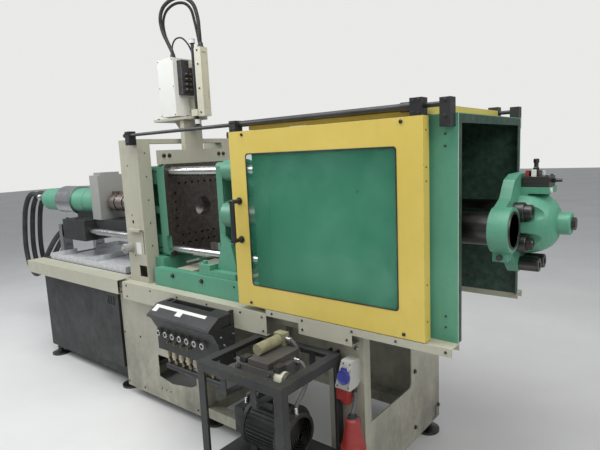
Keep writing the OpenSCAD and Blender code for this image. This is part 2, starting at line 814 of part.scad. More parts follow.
module crosshead() {
    x1 = cross_x + cross_t;
    color([0.28, 0.5, 0.4]) difference() {
        union() {
            yz_plate(cross_x, x1) star_outline();
            both_sides() xbar(cross_x, cross_x + ring_l, ring_d, -column_half, $fn = 64);
            difference() {
                xturn(dome_profile(x1, x1 + dome_l * 0.75), $fn = 96);
                both_sides() for (z = [53, -66]) xbar(x1, x1 + dome_l, 76, -125, z);
            }
            block([x1 - 1, -arm_half, pad_top - pad_t], [x1 + 104, arm_half, pad_top]);
            both_sides() block([x1 - 1, -arm_half, pad_top - 60], [x1 + 30, -arm_half + 16, pad_top]);
            xz_plate(-9, 9) polygon([
                [x1 - 1, 60], [x1 + 92, 60], [x1 + 92, pad_top - 10], [x1 - 1, pad_top - 10]]);
            both_sides() clamp_lug();
            both_sides() xz_plate(-column_half + 40, -column_half + 58) polygon([
                [x1 - 1, -50], [cross_x + ring_l, -50], [cross_x + ring_l, 50], [x1 - 1, 70]]);
        }
        both_sides() {
            xbar(cross_x - 1, cross_x + ring_l + 1, column_d + 2 * fit, -column_half, $fn = 96);
            block([cross_x - 1, -column_half - 3, -ring_d / 2 - 36],
                [cross_x + ring_l + 1, -column_half + 3, -column_d / 2 + 2]);
            ybar(-column_half - 40, -column_half + 40, 14, cross_x + 30, -ring_d / 2 - 16);
        }
    }
}

module crosshead_fittings() {
    x1 = cross_x + cross_t;
    color([0.12, 0.12, 0.12]) {
        both_sides() {
            xbar(x1, x1 + 36, 73, -125, 53);
            xbar(x1 + 35, x1 + 60, 57, -125, 53);
            xbar(x1, x1 + 44, 66, -125, -66);
            xhex(x1 + 43, x1 + 66, 40, -125, -66);
            xbar(x1, x1 + 68, 56, -40, -arm_top + 30);
        }
        block([x1, -24, -arm_top + 8], [x1 + 52, 24, -arm_top + 52]);
        xhex(x1 + dome_l, x1 + dome_l + 14, 42);
        block([x1 + 8, -50, pad_top], [x1 + 100, 50, pad_top + 40]);
        block([x1 + 24, -26, pad_top + 39], [x1 + 58, 30, pad_top + 62]);
        both_sides() {
            ybar(-column_half - 34, -column_half - 26, 22, cross_x + 30, -ring_d / 2 - 16);
            ybar(-column_half - 27, -column_half + 26, 13, cross_x + 30, -ring_d / 2 - 16);
        }
    }
}

// Portal

module portal_column() {
    wall = 5;
    difference() {
        block([portal_x0, -portal_out, base_top], [portal_x1, -portal_in, portal_top]);
        block([portal_x0 + wall, -portal_out + wall, base_top - 1],
            [portal_x1 - wall, -portal_in - wall, portal_top - wall]);
    }
}

module portal_frame() {
    color([0.68, 0.67, 0.6]) difference() {
        union() {
            both_sides() portal_column();
            difference() {
                block([portal_x1 - 75, -portal_in - 1, portal_top - 28],
                    [portal_x1 - 2, portal_in + 1, portal_top]);
                block([portal_x1 - 72, -portal_in - 2, portal_top - 29],
                    [portal_x1 - 5, portal_in + 2, portal_top - 3]);
            }
            block([-250, -portal_out - 22, -108], [-130, -portal_out + 1, -104]);
            block([-250, -portal_out - 22, -120], [-130, -portal_out - 18, -104]);
        }
        block([-226, -portal_out - 1, -73], [-206, -portal_out + 6, -53]);
        block([-126, -portal_out - 1, -260], [-116, -portal_out + 6, -110]);
        block([-190, -portal_out - 1, -400], [-112, -portal_out + 6, -330]);
        for (z = [-350 : 140 : 350]) xbar(portal_x1 - 6, portal_x1 + 1, 9, -portal_in - 40, z, $fn = 24);
    }
}

// Guard and its rails

module guard_shell() {
    color([0.31, 0.58, 0.45]) difference() {
        union() {
            both_sides() {
                block([guard_x0, -guard_half, guard_bottom], [guard_x1, -guard_in, guard_top]);
                block([guard_x1 - sheet, -guard_half, guard_bottom], [guard_x1, -guard_half + rim, guard_top]);
            }
            block([guard_x0, -guard_half, guard_top - sheet], [guard_x1, guard_half, guard_top]);
            block([guard_x1 - sheet, -guard_half, guard_top - rim], [guard_x1, guard_half, guard_top]);
        }
        both_sides() {
            for (p = [[1774, 354], [1774, 311], [1774, -312], [1774, -354], [1405, 145]])
                ybar(-guard_half - 1, -guard_in + 1, 8, p[0], p[1], $fn = 24);
            block([919, -guard_half - 1, guard_bottom - 1], [921, -guard_half + 1, guard_top - 30]);
        }
    }
}

module rail_clamp(x0, x1, y, z0, z1) {
    difference() {
        block([x0, -rod_y - 15, z0], [x1, -y, z1]);
        xbar(x0 - 1, x1 + 1, rod_d, -rod_y, rod_z);
    }
}

module door_rails() {
    x0 = portal_x1 - 40;
    x1 = guard_x1 - 9;
    color([0.15, 0.15, 0.15]) both_sides() {
        rail_clamp(x0, portal_x1, portal_out, rod_z - 57, rod_z + 22);
        rail_clamp(x1 - 39, x1, guard_half, rod_z - 78, rod_z + 21);
        xbar(x0, x1, rod_d, -rod_y, rod_z);
    }
}

// Sliding hood

module door_tray() {
    difference() {
        block([door_x0, -beam_y, -door_drop], [door_x1, -beam_y + door_t, door_top]);
        block([door_x0 + sheet, -beam_y + sheet, -door_drop + sheet],
            [door_x1 - sheet, -beam_y + door_t + 1, door_top - sheet]);
        xz_plate(-beam_y - 1, -beam_y + sheet + 1) round_rect([win_x0, win_z0], [win_x1, win_z1], win_r);
        for (x = [door_x0 + 86, door_x1 - 86], z = [-door_drop + 17, door_top - 16])
            ybar(-beam_y - 1, -beam_y + sheet + 1, 9, x, z, $fn = 24);
    }
}

module door_frame() { color([0.84, 0.73, 0.3]) door_tray(); }
module rear_door_frame() { color([0.84, 0.73, 0.3]) mirror([0, 1, 0]) door_tray(); }

module hood_windows() {
    color([0.7, 0.85, 0.8, 0.4]) both_sides()
        block([win_x0 - 9, -beam_y + sheet, win_z0 - 9], [win_x1 + 9, -beam_y + sheet + pane_t, win_z1 + 9]);
}

module hood_handle() {
    x = 795;
    y = -beam_y - 51;
    color([0.12, 0.12, 0.12]) union() {
        for (z = [-85, 99]) {
            ybar(y, -beam_y, 20, x, z);
            ybar(-beam_y - 6, -beam_y, 34, x, z);
            translate([x, y, z]) sphere(d = 24);
        }
        zbar(-85, 99, 24, x, y);
    }
}

module carrier_block(x0, x1, top) {
    difference() {
        block([x0, -rod_y - 30, door_top], [x1, -roof_half, top]);
        xbar(x0 - 1, x1 + 1, rod_d + 2 * fit, -rod_y, rod_z);
    }
}

module door_carriers() {
    x1 = roof_x1 - 46;
    color([0.15, 0.15, 0.15]) both_sides() {
        carrier_block(door_x0 + 1, door_x0 + 41, rod_z + 16);
        carrier_block(x1, roof_x1, rod_z + 28);
        difference() {
            union() {
                xbar(door_x0 + 40, x1 + 1, carrier_d, -rod_y, rod_z);
                xbar(x1 - 47, x1 + 1, carrier_d + 8, -rod_y, rod_z);
            }
            xbar(door_x0 + 39, x1 + 2, rod_d + 4, -rod_y, rod_z);
        }
    }
}

module roof_cover() {
    z0 = guard_top + 2;
    color([0.84, 0.73, 0.3]) difference() {
        block([roof_x0, -roof_half, z0], [roof_x1, roof_half, z0 + roof_h]);
        block([roof_x0 + sheet, -roof_half + sheet, z0 - 1],
            [roof_x1 - sheet, roof_half - sheet, z0 + roof_h - sheet]);
        block([roof_x0 - 1, picker_y - 75, z0 - 1], [roof_x0 + 240, picker_y + 65, z0 + roof_h + 1]);
    }
}

// Injection unit

module injection_guides() {
    color("Silver") both_sides() union() {
        xbar(base_x0 + 40, -fixed_depth, guide_d, -guide_half, -guide_drop);
        block([base_x0 + 20, -guide_half - 40, base_top], [base_x0 + 70, -guide_half + 40, -guide_drop + 35]);
    }
}

module injection_carriage() {
    color([0.14, 0.14, 0.15]) difference() {
        union() {
            block([head_x0 + 5, -190, -290], [carriage_x1 + 2, 190, -130]);
            block([head_x0 + 5, -60, -131], [carriage_x1 - 4, 60, -80]);
            xz_plate(-100, 100)
                polygon([[carriage_x1, -128], [-640, -128], [-640, -185], [carriage_x1, -290]]);
        }
        both_sides() xbar(head_x0, carriage_x1 + 3, guide_d + 2 * fit, -guide_half, -guide_drop);
        xbar(head_x0, carriage_x1 + 3, head_d, $fn = 96);
    }
}

module injection_housings() {
    a1 = drum_x0;
    a0 = drum_x0 - motor_l;
    color([0.31, 0.55, 0.44]) {
        difference() {
            union() {
                xbar(head_x0, head_x1, head_d, $fn = 96);
                xbar(head_x0 + 150, head_x0 + 158, head_d + 0.001, $fn = 96);
            }
            xbar(barrel_x0, head_x1 + 1, barrel_d + 2 * fit, $fn = 96);
            xbar(head_x0 - 1, barrel_x0 + 1, 60);
            difference() {
                xbar(head_x0 + 168, head_x0 + 174, head_d + 2, $fn = 96);
                xbar(head_x0 + 167, head_x0 + 175, head_d - 6, $fn = 96);
            }
        }
        xturn([[a0, 0], [a0, motor_d / 2 - 30], [a0 + 20, motor_d / 2], [a1, motor_d / 2], [a1, 0]], $fn = 96);
    }
}

module injection_cylinder() {
    color("Silver") difference() {
        xbar(drum_x0, head_x0, drum_d, $fn = 96);
        xbar(drum_x0 + 6, head_x0 - 7, piston_d + 2 * fit, $fn = 96);
        xbar(head_x0 - 8, head_x0 + 1, shank_d + 2 * fit);
    }
}

module feed_block() {
    color([0.6, 0.6, 0.57]) difference() {
        union() {
            block([head_x1, -110, -128], [feed_x1, 110, feed_top - 20]);
            block([head_x1 + 14, -80, feed_top - 21], [feed_x1 - 14, 80, feed_top]);
        }
        xbar(head_x1 - 1, feed_x1 + 1, barrel_d + 2 * fit, $fn = 96);
        zbar(0, 80, 52, (head_x1 + feed_x1) / 2, 0);
        zbar(80, feed_top + 1, 44, (head_x1 + feed_x1) / 2, 0);
    }
}

module barrel() {
    color([0.55, 0.54, 0.52]) difference() {
        union() {
            xturn([[barrel_x0, 0], [barrel_x0, barrel_d / 2], [barrel_x1, barrel_d / 2], [barrel_x1 + 6, 42],
                [barrel_x1 + 42, 42], [barrel_x1 + 52, 25], [barrel_x1 + 88, 25], [barrel_x1 + 100, 10],
                [barrel_x1 + 100, 0]], $fn = 96);
            for (k = [0 : band_n - 1]) {
                x = -1040 + k * band_pitch;
                xbar(x, x + band_w, band_d, $fn = 64);
                block([x + 12, -22, barrel_d / 2], [x + band_w - 12, 22, band_d / 2 + 18]);
            }
        }
        xbar(barrel_x0 - 1, bore_x1 + 3, screw_d + 2 * fit, $fn = 64);
        xbar(bore_x1, barrel_x1 + 101, 7, $fn = 24);
        zbar(0, barrel_d, 38, (head_x1 + feed_x1) / 2, 0);
    }
}

module injection_piston() {
    color([0.5, 0.5, 0.52]) difference() {
        xbar(-1590, -1540, piston_d, $fn = 96);
        xbar(-1591, -1539, shank_d + 2 * fit);
    }
}

module screw() {
    root = screw_d - 12;
    x0 = feed_x1 - 90;
    x1 = barrel_x1 - 24;
    color("Silver") union() {
        xbar(-1600, x0 + 1, shank_d);
        xturn([[x0, 0], [x0, root / 2], [x1, root / 2 + 2], [x1 + 4, screw_d / 2 - 2],
            [x1 + 18, screw_d / 2 - 2], [x1 + 44, 4], [x1 + 46, 0]]);
        translate([x0, 0, 0]) rotate([90, 0, 90])
            linear_extrude(x1 - x0, twist = 360 * (x1 - x0) / screw_lead, slices = 140, $fn = 10)
                translate([root / 2 - 2, 0]) scale([1, 1.4])
                    circle(r = screw_d / 2 - root / 2 + 1.6, $fn = 10);
    }
}

hose_route = [[-2080, 20], [-2110, 20], [-2150, 26], [-2220, 44], [-2310, 46], [-2400, 0], [-2490, -110],
    [-2550, -290], [-2575, -480], [-2540, -640], [-2440, -720], [-2330, -690], [-2230, -600], [-2100, -470],
    [-1950, -350], [-1800, -264], [-1680, -220], [-1600, -206], [-1560, -205], [-1520, -205]];

module unit_hoses() {
    color([0.1, 0.1, 0.1]) for (y = [-70, 0, 70])
        hose(path([for (p = hose_route) [p[0], y, p[1]]], 2), hose_d, [0, 1, 0]);
}

// Sprue picker

module picker_bracket() {
    y0 = picker_y - 70;
    y1 = picker_y + 70;
    color([0.68, 0.67, 0.6]) difference() {
        union() {
            block([-50, -287, platen_half], [-12, 237, platen_half + 83]);
            block([-50, y0, platen_half + 82], [-12, y1, picker_z + 1]);
            xy_plate(picker_z, picker_z + 15) {
                translate([-295, y0 - 15]) square([310, y1 - y0 + 30]);
                round_rect([-60, y0 - 15], [50, y1 + 15], 30);
            }
            xz_plate(picker_y - 10, picker_y + 10)
                polygon([[-49, 400], [-49, picker_z + 1], [-180, picker_z + 1]]);
        }
        zbar(picker_z - 1, picker_z + 16, 40 + 2 * fit, swivel_x, swivel_y);
        for (y = [-262, -222, 172, 212]) xbar(-51, -11, 13, y, platen_half + 50, $fn = 24);
    }
}

module picker_body() {
    z0 = picker_z + 15;
    z1 = z0 + 11;
    color([0.85, 0.85, 0.82]) union() {
        zbar(picker_z, z1, 40, swivel_x, swivel_y);
        zbar(z0, z1 + 1, 150, swivel_x, swivel_y);
        block([-226, -100, z1], [-226 + pick_w, -100 + pick_l, z1 + pick_h]);
        block([-226 + pick_w - 1, -70, 700], [-25, 60, 905]);
        for (z = [716 : 31 : 820]) block([-26, -58, z], [-14, 48, z + 23]);
    }
}

module guide_bracket(z0, z1) {
    difference() {
        block([arm_x - 28, arm_y - 20, z0], [arm_x + 24, arm_y + 20, z1]);
        zbar(z0 - 1, z1 + 1, arm_rod_d + 2 * fit, arm_x, arm_y);
    }
}

module picker_guide() {
    x0 = arm_x + 22;
    z0 = picker_z + 11;
    color([0.8, 0.78, 0.68]) union() {
        difference() {
            block([x0, arm_y - 10, z0], [x0 + 57, arm_y + 45, z0 + 400]);
            block([x0 + 53, arm_y, z0 + 44], [x0 + 58, arm_y + 35, z0 + 374]);
        }
        guide_bracket(picker_z + 15 + slide_gap, z0 + 44);
        block([-25, -15, z0 + 304], [x0 + 12, 10, z0 + 344]);
        block([-69, 8, z0 + 44], [x0 + 12, 30, z0 + 124]);
        block([x0 - 8, arm_y + 10, z0 + 44], [x0 + 12, 30, z0 + 84]);
    }
}

module picker_arm() {
    color([0.12, 0.12, 0.12]) union() {
        zbar(500, 1005, arm_rod_d, arm_x, arm_y);
        zbar(985, 1010, 34, arm_x, arm_y);
        zbar(512, 542, 34, arm_x, arm_y);
        zbar(490, 502, 50, arm_x, arm_y);
    }
}

conduit_route_1 = [[-110, -62, 922], [-110, -62, 940], [-115, -62, 966], [-148, -62, 1022], [-192, -62, 1100],
    [-205, -62, 1180], [-165, -62, 1240], [-70, -62, 1265], [33, -62, 1252], [110, -60, 1200], [138, -56, 1120],
    [135, -48, 1045], [124, -37, 990], [122, -34, 972], [122, -34, 956]];
conduit_route_2 = [[-140, -30, 922], [-140, -30, 938], [-145, -30, 960], [-174, -32, 1014], [-206, -34, 1088],
    [-214, -34, 1165], [-175, -34, 1222], [-90, -34, 1246], [0, -34, 1232], [58, -34, 1185], [84, -34, 1110],
    [95, -29, 1040], [98, -23, 988], [98, -22, 972], [98, -22, 956]];
conduit_route_3 = [[-92, -80, 922], [-92, -80, 940], [-91, -80, 962], [-82, -77, 1004], [-58, -68, 1032],
    [-24, -50, 1032], [0, -26, 994], [10, -7, 942], [12, -3, 918], [12, -3, 900]];

module picker_conduit() {
    color([0.12, 0.12, 0.12]) {
        hose(path(conduit_route_1, 3), 24, [0, 1, 0]);
        hose(path(conduit_route_2, 3), 18, [0, 1, 0]);
        hose(path(conduit_route_3, 3), 10, [0.5, 0.8, 0.2]);
    }
}

// Water distributor

module water_distributor() {
    x1 = water_x0 + water_w;
    front = -beam_y - desk_depth;
    bend = -beam_y - desk_level;
    bottom = knob_z - 100;
    color([0.13, 0.13, 0.14]) difference() {
        union() {
            yz_plate(water_x0, x1) polygon([
                [-beam_y, desk_z], [bend, desk_z - 4], [front, desk_z - 47], [front - 6, desk_z - 58],
                [front + 22, desk_z - 80], [face_y - 8, desk_z - 128], [face_y, desk_z - 140],
                [face_y, bottom], [-beam_y, bottom]]);
            yz_plate(x1 - 6, x1 + 6) polygon([
                [-beam_y, desk_z + 14], [-beam_y - 22, desk_z + 14], [-beam_y - 22, bottom],
                [-beam_y, bottom]]);
            for (k = [0 : water_n - 1])
                zbar(bottom - 110, bottom + 1, 16, knob_x0 + k * water_pitch, -beam_y - 60);
            xbar(knob_x0 - 20, x1 - 40, 34, -beam_y - 60, bottom - 112);
        }
        for (k = [0 : water_n - 1])
            ybar(face_y - 1, face_y + 14, 10 + 2 * fit, knob_x0 + k * water_pitch, knob_z);
        desk_recess(x1);
        yz_plate(x1 - 10, x1 + 7) round_rect([front + 80, desk_z - 66], [front + 142, desk_z - 54], 5);
    }
}

// Open pocket in the desk's level top, with a post near its left end
module desk_recess(x1) {
    z0 = desk_z - 60;
    block([water_x0 + 24, -beam_y - 50, z0], [water_x0 + 52, -beam_y - 8, desk_z + 1]);
    block([water_x0 + 66, -beam_y - 50, z0], [x1 - 110, -beam_y - 8, desk_z + 1]);
}

module water_knob(k) {
    x = knob_x0 + k * water_pitch;
    color([0.75, 0.75, 0.72]) union() {
        ybar(face_y, face_y + 12, 10, x, knob_z);
        difference() {
            ybar(face_y - 20, face_y, knob_d, x, knob_z);
            for (a = [0 : 45 : 315]) translate([x, 0, knob_z]) rotate([0, a, 0])
                ybar(face_y - 21, face_y - 7, 6, knob_d / 2 + 0.5, 0, $fn = 16);
        }
    }
}

module water_knob_1() { water_knob(0); }
module water_knob_2() { water_knob(1); }
module water_knob_3() { water_knob(2); }
module water_knob_4() { water_knob(3); }
module water_knob_5() { water_knob(4); }
module water_knob_6() { water_knob(5); }
module water_knob_7() { water_knob(6); }

// Sockets

box_x1 = box_x0 + box_w;
box_foot = box_top - box_h;
lid_down = 64;
lid_x = (box_x1 + box_x1 - box_top_w + box_x0 + box_x1) / 4 + 4;

// Places its children on the leaning front: their -Y looks out of it, their origin is the lid's centre
module on_socket_front() {
    translate([lid_x, -base_half - box_depth - lid_down * tan(box_lean), box_top - lid_down])
        rotate([-box_lean, 0, 0]) children();
}

// Wedge-shaped housing: its front outline and its side outline, cut with each other
module socket_housing() {
    front = -base_half - box_depth;
    foot_front = front - (box_h - 12) * tan(box_lean);
    intersection() {
        xz_plate(foot_front - 1, -base_half) polygon([
            [box_x1 - box_top_w, box_top], [box_x1, box_top], [box_x1, box_foot], [box_x0, box_foot],
            [box_x0, box_foot + 12]]);
        yz_plate(box_x0, box_x1) polygon([
            [-base_half, box_top], [front, box_top], [foot_front, box_foot + 12], [foot_front, box_foot + 6],
            [foot_front + 5, box_foot], [-base_half - 25, box_foot], [-base_half, box_foot + 14]]);
    }
}

module socket_box() {
    color([0.7, 0.7, 0.68]) difference() {
        union() {
            socket_housing();
            on_socket_front() {
                ybar(-4, 1, lid_d - 4, 0, 0);
                for (x = [-22, 16]) block([x, -12, lid_d / 2 - 1], [x + 6, 1, lid_d / 2 + 9]);
            }
        }
        on_socket_front() {
            ybar(-5, 20, lid_d - 12, 0, 0);
            xbar(-23, 23, 4 + 2 * fit, -7, lid_d / 2 + 4, $fn = 24);
        }
    }
}

module socket_lid() {
    color([0.15, 0.2, 0.55]) on_socket_front() union() {
        ybar(-15, -5, lid_d, 0, 0);
        xbar(-21, 21, 4, -7, lid_d / 2 + 4, $fn = 24);
        difference() {
            block([-14, -12, lid_d / 2 - 10], [14, -5, lid_d / 2 + 8]);
            block([-15, -5, lid_d / 2 - 10], [15, 0, lid_d / 2 + 9]);
        }
    }
}

plug_x = 1395;
plug_y = -base_half - 66;
plug_top = box_foot - 122;

module red_plug() {
    r = plug_d / 2;
    color([0.6, 0.12, 0.1]) {
        union() {
            block([box_x0 + 1, -base_half - 82, box_foot - 50], [box_x0 + 54, -base_half - 14, box_foot]);
            translate([box_x0 + 28, -base_half - 52, box_foot - 50]) rotate([24, 0, 0]) zbar(-20, 14, 50);
        }
        translate([plug_x, plug_y, plug_top]) rotate_extrude() polygon([
            [0, 0], [20, 0], [30, -10], [r - 6, -112], [r - 3, -118], [r - 3, -124], [r, -126], [r, -160],
            [r - 4, -164], [r - 8, -215], [0, -215]]);
    }
}

// Places along the plug's cable, seen from the plug's top
plug_route = [[0, 0, 0], [0, 0, 12], [1, 2, 24], [3, 12, 50], [0, 26, 80], [-4, 30, 100], [-5, 30, 110],
    [-5, 30, 122]];

module plug_cable() {
    color([0.35, 0.35, 0.35])
        hose(path([for (p = plug_route) [plug_x, plug_y, plug_top] + p], 3), 16, [1, 0, 0]);
}

// Hydraulic bench

// Angle iron along X with its corner at the outer top edge; sy points inwards
module angle_x(x0, x1, y, z, sy) {
    yz_plate(x0, x1) polygon([[y, z], [y + sy * angle_w, z], [y + sy * angle_w, z - angle_t],
        [y + sy * angle_t, z - angle_t], [y + sy * angle_t, z - angle_w], [y, z - angle_w]]);
}

// Angle iron along Y with its corner at the outer top edge; sx points inwards
module angle_y(y0, y1, x, z, sx) {
    xz_plate(y0, y1) polygon([[x, z], [x + sx * angle_w, z], [x + sx * angle_w, z - angle_t],
        [x + sx * angle_t, z - angle_t], [x + sx * angle_t, z - angle_w], [x, z - angle_w]]);
}

// Upright angle iron with its corner outside
module angle_z(z0, z1, x, y, sx, sy) {
    xy_plate(z0, z1) polygon([[x, y], [x + sx * angle_w, y], [x + sx * angle_w, y + sy * angle_t],
        [x + sx * angle_t, y + sy * angle_t], [x + sx * angle_t, y + sy * angle_w], [x, y + sy * angle_w]]);
}

module bench_frame() {
    color([0.2, 0.2, 0.2]) union() {
        for (z = [bench_top, shelf_z]) {
            angle_x(bench_x0, bench_x1, bench_y0, z, 1);
            angle_x(bench_x0, bench_x1, bench_y1, z, -1);
            angle_y(bench_y0, bench_y1, bench_x0, z, 1);
            angle_y(bench_y0, bench_y1, bench_x1, z, -1);
        }
        angle_z(floor_z, bench_top, bench_x0, bench_y0, 1, 1);
        angle_z(floor_z, bench_top, bench_x1, bench_y0, -1, 1);
        angle_z(floor_z, bench_top, bench_x0, bench_y1, 1, -1);
        angle_z(floor_z, bench_top, bench_x1, bench_y1, -1, -1);
        block([bench_x0, bench_y0, shelf_z - angle_t], [bench_x1, bench_y1, shelf_z]);
        for (x = [1250, 1290]) block([x, bench_y1 - 1, bench_top - 40], [x + 6, -base_half, bench_top]);
        for (x = [990, 1160]) {
            block([x, bench_y0 + angle_t, bench_top - 116], [x + 30, bench_y1 - angle_t, bench_top - 106]);
            for (y = [bench_y0 + angle_t, bench_y1 - angle_t - 6])
                block([x, y, bench_top - 116], [x + 30, y + 6, bench_top - angle_t]);
        }
    }
}

module pump_motor() {
    y = bench_y1 - 190;
    z = shelf_z + 140;
    color([0.16, 0.17, 0.18]) union() {
        xbar(1010, 1190, 200, y, z, $fn = 64);
        xbar(1190, 1204, 236, y, z, $fn = 64);
        xbar(1204, 1236, 190, y, z, $fn = 64);
        xbar(990, 1010, 214, y, z, $fn = 64);
        xbar(920, 990, 120, y, z);
        block([905, y - 55, z - 60], [960, y + 55, z + 60]);
        block([1040, y - 45, z + 80], [1130, y + 45, z + 130]);
        for (x = [1030, 1140]) block([x, y - 90, shelf_z], [x + 40, y + 90, z - 60]);
    }
}

module bench_valves() {
    top = bench_top - 106;
    color([0.6, 0.58, 0.5]) translate([0, bench_y1, top]) union() {
        block([985, -285, 0], [1185, -140, 92]);
        block([1046, -280, 50], [1160, -80, 120]);
        xbar(966, 1047, 58, -252, 62);
        xbar(1159, 1244, 58, -250, 62);
        ybar(-236, -70, 50, 1060, 145);
        block([1035, -100, 100], [1090, -60, 175]);
    }
}

// Places along the bench's hoses, Y seen from the bench's rear side
bench_route_1 = [[1090, -80, -500], [1104, -80, -500], [1124, -77, -508], [1143, -66, -552], [1138, -60, -615],
    [1095, -72, -682], [1012, -126, -726], [950, -178, -750], [934, -189, -772], [932, -190, -786],
    [932, -190, -799.7]];
bench_route_2 = [[1160, -110, -570], [1176, -110, -570], [1200, -108, -580], [1222, -110, -616],
    [1226, -124, -660], [1224, -152, -696], [1221, -180, -722], [1220, -190, -748], [1220, -190, -764.7]];

module bench_hoses() {
    color([0.3, 0.3, 0.3]) translate([0, bench_y1, 0]) {
        hose(path(bench_route_1, 3), 18, [0.3, 0.8, -0.5]);
        hose(path(bench_route_2, 3), 18, [0.3, 0.5, 0.8]);
    }
}

cabinet();
base_frame();
levelling_feet();
side_rails();
side_panels();
end_plate();
socket_leg();
black_hood();
clamp_bed();
fixed_platen();
tie_bars();
tie_bar_nuts();
support_platen();
clamp_cylinder();
portal_frame();
picker_bracket();
guard_shell();
door_rails();
injection_guides();
water_distributor();
socket_box();
bench_frame();
pump_motor();
bench_valves();
bench_hoses();
red_plug();
plug_cable();
moving_platen();
platen_shoes();
guide_columns();
ram();
crosshead();
crosshead_fittings();
ejector();
door_frame();
rear_door_frame();
hood_windows();
hood_handle();
door_carriers();
roof_cover();
injection_carriage();
injection_housings();
injection_cylinder();
feed_block();
barrel();
unit_hoses();
injection_piston();
screw();
picker_body();
picker_guide();
picker_conduit();
picker_arm();
water_knob_1();
water_knob_2();
water_knob_3();
water_knob_4();
water_knob_5();
water_knob_6();
water_knob_7();
socket_lid();
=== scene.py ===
"""Looks of the injection moulding machine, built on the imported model.

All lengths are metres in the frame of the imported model: the origin is the centre of the
locating bore, +X the clamp end, +Y the rear side, +Z up. The floor is at FLOOR_Z.
"""
import json
import math

import bpy
import bmesh
from mathutils import Matrix, Vector


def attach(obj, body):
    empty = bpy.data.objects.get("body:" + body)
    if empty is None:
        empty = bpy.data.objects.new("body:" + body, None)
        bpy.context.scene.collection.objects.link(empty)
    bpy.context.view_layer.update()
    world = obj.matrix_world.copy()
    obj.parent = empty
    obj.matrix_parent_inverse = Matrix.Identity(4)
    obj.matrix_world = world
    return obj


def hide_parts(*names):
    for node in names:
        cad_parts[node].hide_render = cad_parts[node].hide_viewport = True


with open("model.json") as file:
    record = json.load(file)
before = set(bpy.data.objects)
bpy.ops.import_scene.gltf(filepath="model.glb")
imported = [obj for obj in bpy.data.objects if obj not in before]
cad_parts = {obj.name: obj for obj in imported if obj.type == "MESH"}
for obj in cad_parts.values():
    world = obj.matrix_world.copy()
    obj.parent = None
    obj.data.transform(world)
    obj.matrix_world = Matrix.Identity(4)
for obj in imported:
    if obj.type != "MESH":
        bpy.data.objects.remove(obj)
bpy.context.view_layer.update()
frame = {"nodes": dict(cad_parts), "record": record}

NODES = frame["nodes"]

# Level of the floor, and how far it reaches to each side
FLOOR_Z = -1.23
FLOOR_REACH = 30

# Camera: where the photograph was taken from, its angles in degrees, lens and sensor in mm
CAMERA_AT = (2.479, -2.080, 0.309)
CAMERA_YAW = 39.04
CAMERA_PITCH = -8.24
CAMERA_ROLL = -2.60
CAMERA_LENS = 29.77
SENSOR = 36.0

# Wall behind the machine as the camera sees it, and the light that the room gives
WALL = (0.82, 0.82, 0.81, 1)
ROOM_LIGHT = (0.93, 0.96, 1.0, 1)
ROOM_STRENGTH = 0.42

# Lamps: name, place, aim, size, power in watts, tint
LAMPS = (
    ("window", (-3.2, -2.6, 2.6), (0.0, 0.0, 0.0), (3.0, 2.0), 110, (0.95, 0.98, 1.0)),
    ("ceiling", (0.8, -1.2, 3.4), (0.6, 0.0, -0.3), (4.0, 2.5), 150, (1.0, 1.0, 1.0)),
    ("end", (4.6, -1.6, 2.2), (1.4, 0.0, 0.0), (2.0, 2.0), 70, (1.0, 0.98, 0.95)),
)

# Directions
FRONT = (0, -1, 0)
REAR = (0, 1, 0)
TO_CLAMP = (1, 0, 0)
TO_UNIT = (-1, 0, 0)
UP = (0, 0, 1)
DOWN = (0, 0, -1)

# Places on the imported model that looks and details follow.
# Outer face of the long beams and of the hood's doors
BEAM_Y = 0.4455
# Outer face of the base
BASE_HALF = 0.386
# Doors of the hood, and the windows in them with their corner radius
DOOR_X = (0.747, 1.722)
DOOR_Z = (-0.406, 0.42)
WINDOW_X = (0.848, 1.617)
WINDOW_Z = (-0.302, 0.318)
WINDOW_R = 0.014
# Fixed guard: outer face, thickness of its sheet, lower and upper edge
GUARD_HALF = 0.3785
GUARD_SHEET = 0.002
GUARD_Z = (-0.409, 0.423)
# Half the distance between the tie bars, and between the guide columns
TIE_HALF = 0.235
# Mould faces of the platens, and how far from the axis their bores are bare
FIXED_FACE_X = 0.0
MOVING_FACE_X = 0.455
FIXED_BORE_R = 0.0995
MOVING_BORE_R = 0.064
# Depth of the bolt holes in a mould face, and half the side of the square that holds them
HOLE_DEPTH = 0.034
HOLES_HALF = 0.262
# Trays on the cabinet, whose beige is painted near-white as a painted highlight: half their width,
# underside, end towards the clamp
TRAY_HALF = 0.3012
TRAY_Z = -0.4362
TRAY_END = -0.47
# Lower side of the light cylinder on the bench's valves
BENCH_CYLINDER_Z = -0.5295
# Side of the picker's box where its valves begin
PICKER_VALVE_X = -0.0686
# How far a painted or bare zone reaches past the face that it belongs to
ZONE_SKIN = 0.0006

# Colours as sRGB from 0 to 255. A chip is the tone of a worn edge.
GREEN = [84, 152, 124]
GREEN_CHIP = [120, 110, 95]
CAST_GREEN = [78, 140, 114]
YELLOW = [214, 190, 88]
BEIGE = [178, 176, 158]
BEIGE_CHIP = [110, 95, 75]
DARK = [27, 28, 29]
WHITE = [216, 216, 210]
BROWN_STEEL = [92, 84, 76]


def srgb(r, g, b):
    """Linear colour of an sRGB colour given from 0 to 255."""
    out = []
    for c in (r, g, b):
        c /= 255
        out.append(c / 12.92 if c <= 0.04045 else ((c + 0.055) / 1.055) ** 2.4)
    return out + [1.0]


# Camera and light


